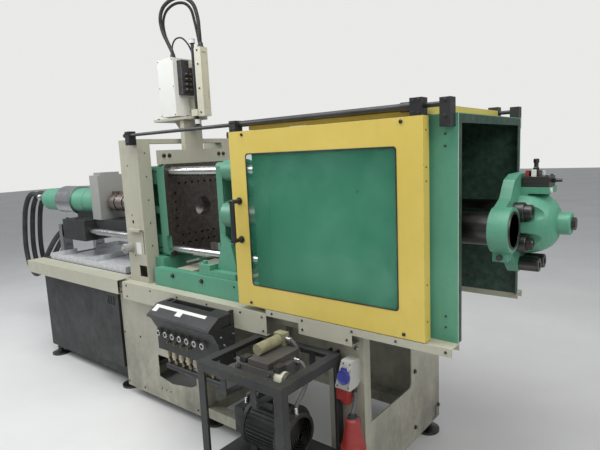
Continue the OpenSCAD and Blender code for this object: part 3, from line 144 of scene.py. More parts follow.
def make_camera():
    yaw, pitch, roll = (math.radians(a) for a in (CAMERA_YAW, CAMERA_PITCH, CAMERA_ROLL))
    ahead = Vector((-math.sin(yaw) * math.cos(pitch), math.cos(yaw) * math.cos(pitch), math.sin(pitch)))
    right = Vector((math.cos(yaw), math.sin(yaw), 0))
    up = right.cross(ahead)
    side = math.cos(roll) * right + math.sin(roll) * up
    top = -math.sin(roll) * right + math.cos(roll) * up
    turn = Matrix((side, top, -ahead)).transposed().to_4x4()
    data = bpy.data.cameras.new("camera")
    data.lens = CAMERA_LENS
    data.sensor_width = SENSOR
    data.clip_end = 100
    camera = bpy.data.objects.new("camera", data)
    camera.matrix_world = Matrix.Translation(CAMERA_AT) @ turn
    bpy.context.collection.objects.link(camera)
    bpy.context.scene.camera = camera


def area_light(name, at, aim, size, watts, tint):
    data = bpy.data.lights.new(name, "AREA")
    data.shape = "RECTANGLE"
    data.size, data.size_y = size
    data.energy = watts
    data.color = tint
    light = bpy.data.objects.new(name, data)
    light.location = at
    light.rotation_euler = (Vector(aim) - Vector(at)).to_track_quat("-Z", "Y").to_euler()
    bpy.context.collection.objects.link(light)


def make_world():
    """One background for the camera and another that lights the machine."""
    world = bpy.data.worlds.new("world")
    world.use_nodes = True
    nt = world.node_tree
    nt.nodes.clear()
    out = nt.nodes.new("ShaderNodeOutputWorld")
    mix = nt.nodes.new("ShaderNodeMixShader")
    path = nt.nodes.new("ShaderNodeLightPath")
    seen = nt.nodes.new("ShaderNodeBackground")
    seen.inputs["Color"].default_value = WALL
    lit = nt.nodes.new("ShaderNodeBackground")
    lit.inputs["Color"].default_value = ROOM_LIGHT
    lit.inputs["Strength"].default_value = ROOM_STRENGTH
    nt.links.new(path.outputs["Is Camera Ray"], mix.inputs["Fac"])
    nt.links.new(lit.outputs[0], mix.inputs[1])
    nt.links.new(seen.outputs[0], mix.inputs[2])
    nt.links.new(mix.outputs[0], out.inputs["Surface"])
    bpy.context.scene.world = world


def make_floor():
    corners = [(x, y, FLOOR_Z) for x, y in ((-1, -1), (1, -1), (1, 1), (-1, 1))]
    mesh = bpy.data.meshes.new("floor")
    mesh.from_pydata([(x * FLOOR_REACH, y * FLOOR_REACH, z) for x, y, z in corners], [], [(0, 1, 2, 3)])
    floor = bpy.data.objects.new("floor", mesh)
    bpy.context.collection.objects.link(floor)
    floor.data.materials.append(floor_material())


def make_stage():
    bpy.context.scene.view_settings.view_transform = "Standard"
    make_world()
    for lamp in LAMPS:
        area_light(*lamp)
    make_floor()


# Materials


class Shader:
    """Small helper that wires a material's nodes."""

    def __init__(self, name):
        self.name = name
        self.material = bpy.data.materials.new(name)
        self.material.use_nodes = True
        self.tree = self.material.node_tree
        self.tree.nodes.clear()
        self.out = self.add("ShaderNodeOutputMaterial")
        self.skin = self.add("ShaderNodeBsdfPrincipled")
        self.link(self.skin.outputs[0], self.out.inputs["Surface"])
        self.place = self.add("ShaderNodeTexCoord").outputs["Object"]

    def add(self, kind, **settings):
        node = self.tree.nodes.new(kind)
        for key, value in settings.items():
            setattr(node, key, value)
        return node

    def link(self, a, b):
        self.tree.links.new(a, b)

    def scaled(self, scale):
        node = self.add("ShaderNodeMapping")
        self.link(self.place, node.inputs["Vector"])
        node.inputs["Scale"].default_value = scale
        return node.outputs[0]

    def noise(self, scale, detail=4, rough=0.6, stretch=None):
        node = self.add("ShaderNodeTexNoise")
        node.inputs["Scale"].default_value = scale
        node.inputs["Detail"].default_value = detail
        node.inputs["Roughness"].default_value = rough
        self.link(self.scaled(stretch) if stretch else self.place, node.inputs["Vector"])
        return node.outputs["Fac"]

    def ramp(self, value, low, high, a=0.0, b=1.0):
        """a where value is low, b where it is high."""
        node = self.add("ShaderNodeMapRange")
        node.inputs["From Min"].default_value = low
        node.inputs["From Max"].default_value = high
        node.inputs["To Min"].default_value = a
        node.inputs["To Max"].default_value = b
        self.link(value, node.inputs["Value"])
        return node.outputs[0]

    def calc(self, kind, a, b=None):
        node = self.add("ShaderNodeMath", operation=kind)
        for socket, value in zip(node.inputs, (a, b)):
            if value is None:
                continue
            if isinstance(value, (int, float)):
                socket.default_value = value
            else:
                self.link(value, socket)
        return node.outputs[0]

    def mix(self, fac, a, b):
        """Colour a where fac is 0, colour b where it is 1. The node keeps its colours at 6 and 7."""
        node = self.add("ShaderNodeMix", data_type="RGBA")
        for socket, value in ((node.inputs[0], fac), (node.inputs[6], a), (node.inputs[7], b)):
            if isinstance(value, (int, float, list, tuple)):
                socket.default_value = value
            else:
                self.link(value, socket)
        return node.outputs[2]

    def edges(self):
        """1 on sharp edges, 0 on flat faces."""
        soft = self.add("ShaderNodeBevel", samples=4)
        soft.inputs["Radius"].default_value = 0.004
        true = self.add("ShaderNodeNewGeometry")
        dot = self.add("ShaderNodeVectorMath", operation="DOT_PRODUCT")
        self.link(soft.outputs[0], dot.inputs[0])
        self.link(true.outputs["Normal"], dot.inputs[1])
        return self.ramp(dot.outputs["Value"], 0.995, 0.86)

    def bump(self, height, strength, distance, radius=0.0015):
        """Relief on top of slightly rounded edges."""
        soft = self.add("ShaderNodeBevel", samples=4)
        soft.inputs["Radius"].default_value = radius
        node = self.add("ShaderNodeBump")
        node.inputs["Strength"].default_value = strength
        node.inputs["Distance"].default_value = distance
        self.link(height, node.inputs["Height"])
        self.link(soft.outputs[0], node.inputs["Normal"])
        self.link(node.outputs[0], self.skin.inputs["Normal"])

    def coord(self, axis):
        node = self.add("ShaderNodeSeparateXYZ")
        self.link(self.place, node.inputs[0])
        return node.outputs[axis]


def darker(colour, factor):
    return [c * factor for c in colour[:3]] + [1.0]


def lighter(colour, amount):
    return [c + (1 - c) * amount for c in colour[:3]] + [1.0]


def paint(name, rgb, chip, rough=0.38, dirt=0.35, drips=0.25):
    """Machine enamel: clouded shade, grime, faint drips, and edges worn down to the colour chip."""
    s = Shader(name)
    colour = srgb(*rgb)
    cloud = s.ramp(s.noise(2.3, 5), 0.35, 0.7)
    base = s.mix(cloud, darker(colour, 0.9), lighter(colour, 0.03))
    grime = s.ramp(s.noise(9, 8, 0.75), 0.52, 0.8, 0, dirt)
    base = s.mix(grime, base, darker(colour, 0.45))
    streak = s.ramp(s.noise(1, 5, 0.6, (38, 38, 2.2)), 0.55, 0.85, 0, drips)
    base = s.mix(streak, base, darker(colour, 0.6))
    broken = s.ramp(s.noise(60, 6, 0.8), 0.5, 0.62)
    base = s.mix(s.calc("MULTIPLY", s.edges(), broken), base, srgb(*chip))
    s.link(base, s.skin.inputs["Base Color"])
    s.link(s.ramp(s.noise(14, 5), 0.3, 0.8, rough - 0.06, rough + 0.16), s.skin.inputs["Roughness"])
    s.bump(s.noise(420, 2), 0.12, 0.0004)
    return s


def metal(name, rgb, rough, stain=0.3):
    """Turned or ground steel: fine lines, oily stains."""
    s = Shader(name)
    colour = srgb(*rgb)
    line = s.noise(1, 3, 0.6, (4, 300, 300))
    cloud = s.ramp(s.noise(7, 6, 0.7), 0.45, 0.8, 0, stain)
    base = s.mix(s.ramp(line, 0.3, 0.7), darker(colour, 0.85), lighter(colour, 0.05))
    base = s.mix(cloud, base, darker(colour, 0.35))
    s.link(base, s.skin.inputs["Base Color"])
    s.skin.inputs["Metallic"].default_value = 1
    s.link(s.ramp(s.noise(11, 5), 0.3, 0.8, rough - 0.05, rough + 0.2), s.skin.inputs["Roughness"])
    s.bump(line, 0.08, 0.0003, 0.001)
    return s


def plastic(name, rgb, rough, dust=0.2):
    """Moulded plastic or rubber with a fine grain and dust."""
    s = Shader(name)
    colour = srgb(*rgb)
    cloud = s.ramp(s.noise(6, 6, 0.7), 0.4, 0.8, 0, dust)
    base = s.mix(cloud, colour, lighter(darker(colour, 0.8), 0.16))
    base = s.mix(s.ramp(s.noise(120, 3), 0.5, 0.75, 0, 0.25), base, darker(colour, 0.6))
    s.link(base, s.skin.inputs["Base Color"])
    s.link(s.ramp(s.noise(20, 4), 0.3, 0.8, rough - 0.08, rough + 0.12), s.skin.inputs["Roughness"])
    s.bump(s.noise(900, 2), 0.1, 0.0003, 0.001)
    return s


def zone(s, mask, rgb, rough, metallic):
    """Repaints a shader where mask is 1 as another paint or as bare metal."""
    skin = s.skin
    colour = srgb(*rgb)
    grain = s.ramp(s.noise(30, 7, 0.75), 0.35, 0.75)
    bare = s.mix(grain, darker(colour, 0.62), lighter(colour, 0.06))
    old = skin.inputs["Base Color"].links[0].from_socket
    s.link(s.mix(mask, old, bare), skin.inputs["Base Color"])
    s.link(s.calc("MULTIPLY", mask, metallic), skin.inputs["Metallic"])
    old = skin.inputs["Roughness"].links[0].from_socket
    keep = s.calc("MULTIPLY", old, s.calc("SUBTRACT", 1.0, mask))
    s.link(s.calc("ADD", keep, s.calc("MULTIPLY", mask, rough)), skin.inputs["Roughness"])


def floor_material():
    s = Shader("floor")
    tone = s.mix(s.ramp(s.noise(1.4, 4), 0.3, 0.7), [0.62, 0.62, 0.61, 1], [0.68, 0.68, 0.67, 1])
    s.link(tone, s.skin.inputs["Base Color"])
    s.skin.inputs["Roughness"].default_value = 0.8
    return s.material


def platen_material(name, face_x, bore_r, way):
    """Green casting whose mould face is bare brown steel. way is +1 where the face looks to +X."""
    s = paint(name, CAST_GREEN, [90, 80, 70])
    x, y, z = (s.coord(axis) for axis in "XYZ")
    beyond = "GREATER_THAN" if way > 0 else "LESS_THAN"
    face = s.calc(beyond, x, face_x - way * ZONE_SKIN)
    deep = s.calc(beyond, x, face_x - way * HOLE_DEPTH)
    off_axis = s.calc("MAXIMUM", s.calc("ABSOLUTE", y), s.calc("ABSOLUTE", z))
    holes = s.calc("MULTIPLY", deep, s.calc("LESS_THAN", off_axis, HOLES_HALF))
    square = s.calc("ADD", s.calc("MULTIPLY", y, y), s.calc("MULTIPLY", z, z))
    bore = s.calc("LESS_THAN", square, bore_r ** 2)
    bare = s.calc("MAXIMUM", s.calc("MAXIMUM", face, holes), bore)
    zone(s, bare, BROWN_STEEL, 0.42, 0.7)
    return s.material


def base_material():
    """Beige enamel, mottled darker brown and rusty towards the floor."""
    s = paint("base_paint", BEIGE, BEIGE_CHIP, dirt=0.5)
    # Mottled dark brown that grows stronger towards the floor
    low = s.ramp(s.coord("Z"), -1.12, -0.52, 0.62, 0.04)
    cloud = s.ramp(s.noise(4.5, 8, 0.72, (1, 1, 0.55)), 0.36, 0.62, 0.12, 1.0)
    zone(s, s.calc("MULTIPLY", low, cloud), [44, 38, 30], 0.55, 0.0)
    spots = s.ramp(s.noise(2.2, 8, 0.8), 0.58, 0.7, 0, 0.55)
    lowest = s.ramp(s.coord("Z"), -1.0, -0.66, 1, 0)
    zone(s, s.calc("MULTIPLY", spots, lowest), [112, 66, 36], 0.6, 0.0)
    return s.material


def rail_material():
    """Beige folded sheets, with the trays on the cabinet painted near-white as a painted highlight."""
    s = paint("rail_paint", BEIGE, BEIGE_CHIP, dirt=0.4)
    narrow = s.calc("LESS_THAN", s.calc("ABSOLUTE", s.coord("Y")), TRAY_HALF)
    above = s.calc("GREATER_THAN", s.coord("Z"), TRAY_Z)
    left = s.calc("LESS_THAN", s.coord("X"), TRAY_END)
    # Painted highlight: the trays have the beams' beige paint, drawn near-white where the overhead light
    # falls
    zone(s, s.calc("MULTIPLY", s.calc("MULTIPLY", narrow, above), left), [226, 228, 230], 0.3, 0.1)
    return s.material


def bench_valve_material():
    """Dark valves under a light cylinder."""
    s = paint("bench_valve_paint", [60, 58, 54], [130, 124, 112], rough=0.45)
    zone(s, s.calc("GREATER_THAN", s.coord("Z"), BENCH_CYLINDER_Z), [150, 146, 112], 0.45, 0.0)
    return s.material


def picker_material():
    """White box whose valves on its +X side are dark."""
    s = plastic("picker_box", WHITE, 0.45)
    zone(s, s.calc("GREATER_THAN", s.coord("X"), PICKER_VALVE_X), [34, 35, 37], 0.5, 0.0)
    return s.material


def guard_material():
    """Green sheet whose inside faces are painted darker as painted shade within the guard."""
    s = paint("guard_paint", GREEN, GREEN_CHIP)
    depth = GUARD_SHEET + ZONE_SKIN
    inside = s.calc("LESS_THAN", s.calc("ABSOLUTE", s.coord("Y")), GUARD_HALF - depth)
    below = s.calc("LESS_THAN", s.coord("Z"), GUARD_Z[1] - depth)
    # Painted shade: the guard's inside faces are painted dark green
    zone(s, s.calc("MULTIPLY", inside, below), [20, 66, 47], 0.55, 0.0)
    return s.material


def pane_material():
    """Green see-through pane with smears and fine scratches."""
    s = Shader("pane")
    smear = s.ramp(s.noise(3, 6, 0.65), 0.45, 0.8, 0, 0.09)
    scratch = s.ramp(s.noise(1, 2, 0.5, (2, 2, 160)), 0.66, 0.8, 0, 0.05)
    tint = s.mix(s.calc("MULTIPLY", smear, 8.0), srgb(38, 138, 104), srgb(120, 186, 160))
    s.link(tint, s.skin.inputs["Base Color"])
    s.skin.inputs["Roughness"].default_value = 0.05
    s.link(s.calc("ADD", s.calc("ADD", smear, scratch), 0.2), s.skin.inputs["Alpha"])
    return s.material


def make_materials():
    """The looks by name: those of the model's slots, and those that only details use."""
    shaders = [
        paint("green_paint", GREEN, GREEN_CHIP),
        paint("yellow_paint", YELLOW, [150, 120, 60], rough=0.34, dirt=0.16, drips=0.12),
        paint("beige_paint", BEIGE, BEIGE_CHIP, dirt=0.4),
        paint("dark_paint", DARK, [120, 112, 100], rough=0.5, dirt=0.3),
        paint("black_sheet", [22, 23, 24], [90, 88, 84], rough=0.45, dirt=0.3),
        paint("grey_paint", [150, 150, 145], [90, 86, 80]),
        paint("cream_metal", [196, 192, 172], [120, 116, 104]),
        paint("painted_edge_highlight", [168, 200, 180], [200, 200, 195]),
        metal("dark_steel", [78, 76, 74], 0.32),
        metal("bright_steel", [196, 196, 196], 0.16, stain=0.25),
        metal("blued_steel", [140, 128, 118], 0.38, stain=0.5),
        metal("knob_metal", [178, 176, 170], 0.35),
        metal("brass", [134, 118, 84], 0.34),
        plastic("black_plastic", [28, 28, 30], 0.42),
        plastic("white_plastic", WHITE, 0.45),
        plastic("rubber", [26, 26, 27], 0.55, 0.3),
        plastic("grey_hose", [84, 85, 86], 0.5, 0.3),
        plastic("grey_plastic", [170, 170, 164], 0.45),
        plastic("blue_plastic", [38, 48, 128], 0.4),
        plastic("red_plastic", [140, 34, 30], 0.45),
        plastic("paper", [214, 214, 210], 0.6, 0.35),
    ]
    looks = {s.name: s.material for s in shaders}
    looks["pane"] = pane_material()
    looks["base_paint"] = base_material()
    return looks


def dress_nodes(m):
    """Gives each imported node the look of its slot, or one of its own."""
    own = {
        "fixed_platen": platen_material("fixed_platen_casting", FIXED_FACE_X, FIXED_BORE_R, 1),
        "moving_platen": platen_material("moving_platen_casting", MOVING_FACE_X, MOVING_BORE_R, -1),
        "side_rails": rail_material(),
        "bench_valves": bench_valve_material(),
        "picker_body": picker_material(),
        "guard_shell": guard_material(),
    }
    for name in ("side_panels", "socket_leg", "end_plate", "base_frame"):
        own[name] = m["base_paint"]
    slots = {p["node"]: p["material_slot"] for p in frame["record"]["subparts"]}
    for name, obj in NODES.items():
        obj.data.materials.clear()
        obj.data.materials.append(own[name] if name in own else m[slots[name]])


# Shapes


def add_mesh(name, bm, body, look, smooth=False):
    mesh = bpy.data.meshes.new(name)
    bm.normal_update()
    bm.to_mesh(mesh)
    bm.free()
    if smooth:
        for p in mesh.polygons:
            p.use_smooth = True
    obj = bpy.data.objects.new(name, mesh)
    bpy.context.collection.objects.link(obj)
    obj.data.materials.append(look)
    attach(obj, body)
    return obj


def join_rings(bm, rings):
    """Faces between neighbouring rings of vertices, and a cap at each end."""
    for a, b in zip(rings, rings[1:]):
        for k in range(len(a)):
            n = (k + 1) % len(a)
            bm.faces.new((a[k], a[n], b[n], b[k]))
    bm.faces.new(rings[0][::-1])
    bm.faces.new(rings[-1])


def smooth_line(points, steps):
    """Points along a smooth curve through the given ones."""
    p = [Vector(v) for v in points]
    line = []
    for i in range(len(p) - 1):
        a, b, c, d = p[max(i - 1, 0)], p[i], p[i + 1], p[min(i + 2, len(p) - 1)]
        for k in range(steps):
            t = k / steps
            line.append(0.5 * (2 * b + (c - a) * t + (2 * a - 5 * b + 4 * c - d) * t ** 2
                               + (3 * b - a - 3 * c + d) * t ** 3))
    return line + [p[-1]]


def cord_line(points):
    """A smooth curve through the points, with a straight piece at both ends."""
    return [Vector(points[0])] + smooth_line(points[1:-1], 10) + [Vector(points[-1])]


def length_of(line):
    return sum((b - a).length for a, b in zip(line, line[1:]))


def resample(line, gap):
    """The line again with points an even gap apart."""
    total = length_of(line)
    count = max(2, round(total / gap))
    out, walked, i = [line[0]], 0.0, 0
    for k in range(1, count):
        goal = total * k / count
        while walked + (line[i + 1] - line[i]).length < goal:
            walked += (line[i + 1] - line[i]).length
            i += 1
        out.append(line[i].lerp(line[i + 1], (goal - walked) / (line[i + 1] - line[i]).length))
    return out + [line[-1]]


def tube(name, line, radius, body, look, ribs=None):
    """A tube along a line. ribs is how deep the rings of a corrugated conduit go."""
    sides = 12
    bm = bmesh.new()
    side = Vector((0, 0, 1))
    rings = []
    for i, p in enumerate(line):
        ahead = (line[min(i + 1, len(line) - 1)] - line[max(i - 1, 0)]).normalized()
        if i == 0 and abs(ahead.z) > 0.9:
            side = Vector((1, 0, 0))
        side = (side - ahead * side.dot(ahead)).normalized()
        other = ahead.cross(side)
        r = radius - (ribs if ribs and i % 2 else 0)
        rings.append([bm.verts.new(p + r * (math.cos(a) * side + math.sin(a) * other))
                      for a in (2 * math.pi * k / sides for k in range(sides))])
    join_rings(bm, rings)
    return add_mesh(name, bm, body, look, smooth=not ribs)


def turned(bm, steps, at, way, sides):
    """Body of revolution. steps are (height, radius) or (height, radius, corners of a polygon)."""
    at, way = Vector(at), Vector(way).normalized()
    side = Vector((0, 0, 1)) if abs(way.z) < 0.9 else Vector((1, 0, 0))
    side = (side - way * side.dot(way)).normalized()
    other = way.cross(side)
    rings = []
    for height, radius, *polygon in steps:
        ring = []
        for k in range(sides):
            a = 2 * math.pi * k / sides
            r = radius
            if polygon:
                wedge = 2 * math.pi / polygon[0]
                r = radius * math.cos(wedge / 2) / math.cos(a % wedge - wedge / 2)
            ring.append(bm.verts.new(at + way * height + r * (math.cos(a) * side + math.sin(a) * other)))
        rings.append(ring)
    join_rings(bm, rings)


def turnings(name, bodies, body, look):
    """One piece of several turned bodies, each (steps, at, way, sides)."""
    bm = bmesh.new()
    for steps, at, way, sides in bodies:
        turned(bm, steps, at, way, sides)
    return add_mesh(name, bm, body, look)


def sized(steps, size):
    """Steps given in units of a size, in metres."""
    return [(h * size, r * size, *polygon) for h, r, *polygon in steps]


# Heads of the fasteners in units of their radius, with their washers and recesses
SOCKET_HEAD = ((0, 1.35), (0.16, 1.4), (0.22, 1.3), (0.22, 1.0), (1.0, 1.0), (1.15, 0.86), (1.15, 0.6, 6),
               (0.5, 0.56, 6))
HEX_HEAD = ((0, 1.2), (0.14, 1.25), (0.2, 1.2), (0.2, 1.0, 6), (0.8, 1.0, 6), (0.95, 0.82))
ROUND_HEAD = ((0, 1.0), (0.35, 0.97), (0.6, 0.75), (0.68, 0.35, 4), (0.45, 0.22, 4))


def socket_screw(bm, at, way, d):
    """Socket-head screw of head diameter d, with its washer and hexagon socket."""
    turned(bm, sized(SOCKET_HEAD, d / 2), at, way, 24)


def hex_bolt(bm, at, way, d):
    """Hexagon bolt head of that size across corners, with its washer."""
    turned(bm, sized(HEX_HEAD, d / 2), at, way, 24)


def round_screw(bm, at, way, d):
    """Low round-head screw with a cross recess drawn as a small pit."""
    turned(bm, sized(ROUND_HEAD, d / 2), at, way, 16)


def ferrule(bm, at, way, d):
    """Crimped sleeve, hexagon and collar at a hose's end. way leads out of the hose."""
    steps = [(-1.6, 0.51), (-1.55, 0.61)]
    for k in range(4):
        h = -1.45 + 0.3 * k
        steps += [(h, 0.62), (h + 0.06, 0.56), (h + 0.18, 0.56), (h + 0.24, 0.62)]
    steps += [(-0.2, 0.525), (-0.18, 0.75, 6), (0.25, 0.75, 6), (0.27, 0.5), (0.45, 0.49)]
    turned(bm, sized(steps, d), at, way, 24)


def fasteners(name, kind, places, way, d, body, look):
    bm = bmesh.new()
    for at in places:
        kind(bm, at, way, d)
    return add_mesh(name, bm, body, look)


def grid(xs, ys, zs):
    """Points at every x with every y and every z. A bare number is a row of one."""
    xs, ys, zs = (v if isinstance(v, tuple) else (v,) for v in (xs, ys, zs))
    return [(x, y, z) for x in xs for y in ys for z in zs]


def mirrored(places):
    """The same places on the other side of the machine."""
    return [(x, -y, z) for x, y, z in places]


def on_circle(x, radius, count):
    """Evenly spaced points round the machine's axis, the first half a step from the top."""
    angles = [2 * math.pi * (k + 0.5) / count for k in range(count)]
    return [(x, radius * math.sin(a), radius * math.cos(a)) for a in angles]


def blocks(name, corners, body, look, chamfer):
    """One piece of several blocks with chamfered edges, each given by two corners."""
    bm = bmesh.new()
    for low, high in corners:
        made = bmesh.ops.create_cube(bm, size=1)["verts"]
        for v in made:
            v.co = [low[i] + (v.co[i] + 0.5) * (high[i] - low[i]) for i in range(3)]
        edges = {e for v in made for e in v.link_edges}
        bmesh.ops.bevel(bm, geom=list(edges), offset=chamfer, segments=2, affect="EDGES", profile=0.6)
    return add_mesh(name, bm, body, look)


def round_loop(x0, x1, z0, z1, r):
    """Corner-rounded rectangle in X and Z."""
    steps = 5
    out = []
    corners = ((x1 - r, z1 - r, 0), (x0 + r, z1 - r, 90), (x0 + r, z0 + r, 180), (x1 - r, z0 + r, 270))
    for cx, cz, start in corners:
        for k in range(steps + 1):
            a = math.radians(start + 90 * k / steps)
            out.append((cx + r * math.cos(a), cz + r * math.sin(a)))
    return out


def seal(name, x, z, y, width, depth, body, look):
    """Profile strip around an opening in the XZ plane, with a rounded lip."""
    bm = bmesh.new()
    loops = []
    for inset, out in ((0, 0), (0, 0.7), (0.25, 1), (0.75, 1), (1, 0.7), (1, 0)):
        d = width * inset
        loop = round_loop(x[0] + d, x[1] - d, z[0] + d, z[1] - d, WINDOW_R)
        loops.append([bm.verts.new((px, y + depth * out, pz)) for px, pz in loop])
    for a, b in zip(loops, loops[1:] + loops[:1]):
        for k in range(len(a)):
            n = (k + 1) % len(a)
            bm.faces.new((a[k], a[n], b[n], b[k]))
    return add_mesh(name, bm, body, look)


# Cords. Their routes are points along the middle.

HOSE_D = 0.044
HOSES_Y = (-0.07, 0.0, 0.07)
HOSE_ROUTE = [(-2.08, 0.02), (-2.11, 0.02), (-2.15, 0.026), (-2.22, 0.044), (-2.31, 0.046),
              (-2.4, 0.0), (-2.49, -0.11), (-2.55, -0.29), (-2.575, -0.48), (-2.54, -0.64),
              (-2.44, -0.72), (-2.33, -0.69), (-2.23, -0.6), (-2.1, -0.47), (-1.95, -0.35),
              (-1.8, -0.264), (-1.68, -0.22), (-1.6, -0.206), (-1.56, -0.205), (-1.52, -0.205)]
HOSE_ROUTES = [[(x, y, z) for x, z in HOSE_ROUTE] for y in HOSES_Y]
# The picker's conduits: diameter, gap between drawn points, depth of the rings, route
CONDUITS = [
    (0.024, 0.004, 0.0018,
     [(-0.11, -0.062, 0.922), (-0.11, -0.062, 0.94), (-0.115, -0.062, 0.966), (-0.148, -0.062, 1.022),
      (-0.192, -0.062, 1.1), (-0.205, -0.062, 1.18), (-0.165, -0.062, 1.24), (-0.07, -0.062, 1.265),
      (0.033, -0.062, 1.252), (0.11, -0.06, 1.2), (0.138, -0.056, 1.12), (0.135, -0.048, 1.045),
      (0.124, -0.037, 0.99), (0.122, -0.034, 0.972), (0.122, -0.034, 0.956)]),
    (0.018, 0.004, 0.0018,
     [(-0.14, -0.03, 0.922), (-0.14, -0.03, 0.938), (-0.145, -0.03, 0.96), (-0.174, -0.032, 1.014),
      (-0.206, -0.034, 1.088), (-0.214, -0.034, 1.165), (-0.175, -0.034, 1.222), (-0.09, -0.034, 1.246),
      (0.0, -0.034, 1.232), (0.058, -0.034, 1.185), (0.084, -0.034, 1.11), (0.095, -0.029, 1.04),
      (0.098, -0.023, 0.988), (0.098, -0.022, 0.972), (0.098, -0.022, 0.956)]),
    (0.01, 0.01, None,
     [(-0.092, -0.08, 0.922), (-0.092, -0.08, 0.94), (-0.091, -0.08, 0.962), (-0.082, -0.077, 1.004),
      (-0.058, -0.068, 1.032), (-0.024, -0.05, 1.032), (0.0, -0.026, 0.994), (0.01, -0.007, 0.942),
      (0.012, -0.003, 0.918), (0.012, -0.003, 0.9)]),
]
# From the plug up to the gland of the socket box
PLUG_D = 0.016
PLUG_ROUTE = [(1.395, -0.452, -0.8), (1.395, -0.452, -0.788), (1.396, -0.45, -0.776), (1.398, -0.44, -0.75),
              (1.395, -0.426, -0.72), (1.391, -0.422, -0.7), (1.39, -0.422, -0.69), (1.39, -0.422, -0.678)]
BENCH_HOSE_D = 0.018
BENCH_ROUTES = [
    [(1.09, -0.5, -0.5), (1.104, -0.5, -0.5), (1.124, -0.497, -0.508), (1.143, -0.486, -0.552),
     (1.138, -0.48, -0.615), (1.095, -0.492, -0.682), (1.012, -0.546, -0.726), (0.95, -0.598, -0.75),
     (0.934, -0.609, -0.772), (0.932, -0.61, -0.786), (0.932, -0.61, -0.7997)],
    [(1.16, -0.53, -0.57), (1.176, -0.53, -0.57), (1.2, -0.528, -0.58), (1.222, -0.53, -0.616),
     (1.226, -0.544, -0.66), (1.224, -0.572, -0.696), (1.221, -0.6, -0.722), (1.22, -0.61, -0.748),
     (1.22, -0.61, -0.7647)],
]


def make_cord(name, route, diameter, body, look, node, far_end="object", gap=0.02, ribs=None, **facts):
    line = resample(cord_line(route), gap)
    piece = tube(name, line, diameter / 2, body, look, ribs)
    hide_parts(node)


def make_cords(m):
    for k, route in enumerate(HOSE_ROUTES, 1):
        make_cord(f"unit_hose_{k}", route, HOSE_D, "injection_unit", m["rubber"], "unit_hoses",
                  stiffness="stiff")
    for k, (d, gap, ribs, route) in enumerate(CONDUITS, 1):
        make_cord(f"conduit_{k}", route, d, "picker_swivel", m["rubber"], "picker_conduit",
                  gap=gap, ribs=ribs, stiffness="stiff")
    for k, route in enumerate(BENCH_ROUTES, 1):
        make_cord(f"bench_hose_{k}", route, BENCH_HOSE_D, "machine", m["grey_hose"], "bench_hoses",
                  stiffness="medium")
    make_cord("plug_lead", PLUG_ROUTE[::-1], PLUG_D, "machine", m["grey_hose"], "plug_cable", far_end="plug",
              gap=0.008, stiffness="medium", lay="hanging", with_pieces=[NODES["red_plug"]])


def both_ends(route):
    """Each end of a route with the way that leads out of it."""
    first, second, before, last = (Vector(route[k]) for k in (0, 1, -2, -1))
    return (first, first - second), (last, last - before)


def hose_ends(name, routes, d, body, look):
    """Ferrules at both ends of hoses."""
    bm = bmesh.new()
    for route in routes:
        for at, way in both_ends(route):
            ferrule(bm, at, way, d)
    add_mesh(name, bm, body, look)


# Details. Steps of a profile are height and radius in metres, and its corners where it isn't round.


def add_hood_details(m):
    """Screws, edge rivets and window seals of the sliding hood."""
    body, dark = "sliding_hood", m["dark_steel"]
    corners_x = (DOOR_X[0] + 0.086, DOOR_X[1] - 0.086)
    corners_z = (DOOR_Z[0] + 0.017, DOOR_Z[1] - 0.016)
    for side, name in ((-1, "front"), (1, "rear")):
        y = side * BEAM_Y
        way = (0, side, 0)
        fasteners(f"{name}_door_screws", socket_screw, grid(corners_x, y, corners_z), way, 0.011, body, dark)
        seal(f"{name}_window_seal", WINDOW_X, WINDOW_Z, y, 0.005, side * 0.0018, body, m["rubber"])
        rivets = grid(DOOR_X[1], side * 0.425, (-0.33, -0.19, 0.19, 0.24, 0.37))
        fasteners(f"{name}_door_edge_rivets", round_screw, rivets, TO_CLAMP, 0.007, body, dark)
        carrier = grid((0.758, 0.778), side * 0.44, (0.432, 0.462))
        carrier += grid((1.68, 1.702), side * 0.44, (0.432, 0.474))
        fasteners(f"{name}_carrier_screws", socket_screw, carrier, way, 0.007, body, dark)
    handle = grid(0.795, -0.5085, (-0.085, 0.099))
    fasteners("handle_screws", socket_screw, handle, FRONT, 0.011, body, dark)
    roof = grid((0.86, 1.06, 1.27, 1.48, 1.68), (-0.37, 0.37), 0.465)
    fasteners("roof_screws", round_screw, roof, UP, 0.011, body, dark)


def add_guard_details(m):
    """Screws of the fixed guard, pale strips on its end edges as a painted highlight, screws of the rail
    clamps.
    """
    body, dark = "machine", m["dark_steel"]
    places = grid(1.774, -GUARD_HALF, (0.354, 0.311, -0.312, -0.354)) + [(1.405, -GUARD_HALF, 0.145)]
    fasteners("guard_screws", round_screw, places, FRONT, 0.009, body, dark)
    fasteners("guard_rear_screws", round_screw, mirrored(places), REAR, 0.009, body, dark)
    # Pale green strips over the guard's end edges: a painted highlight where light catches the sheet's edge
    lap, x0, x1 = 0.0006, 1.8195, 1.8215
    outer, inner = GUARD_HALF + lap, GUARD_HALF - GUARD_SHEET - lap
    walls = ((-outer, -inner), (inner, outer))
    trim = [((x0, low, GUARD_Z[0]), (x1, high, GUARD_Z[1])) for low, high in walls]
    blocks("guard_edge_highlight_strip", trim, body, m["painted_edge_highlight"], 0.0004)
    clamps = grid((-0.125, 1.7915), -0.425, (0.466, 0.412))
    fasteners("rail_clamp_screws", socket_screw, clamps, FRONT, 0.01, body, dark)
    fasteners("rail_clamp_rear_screws", socket_screw, mirrored(clamps), REAR, 0.01, body, dark)


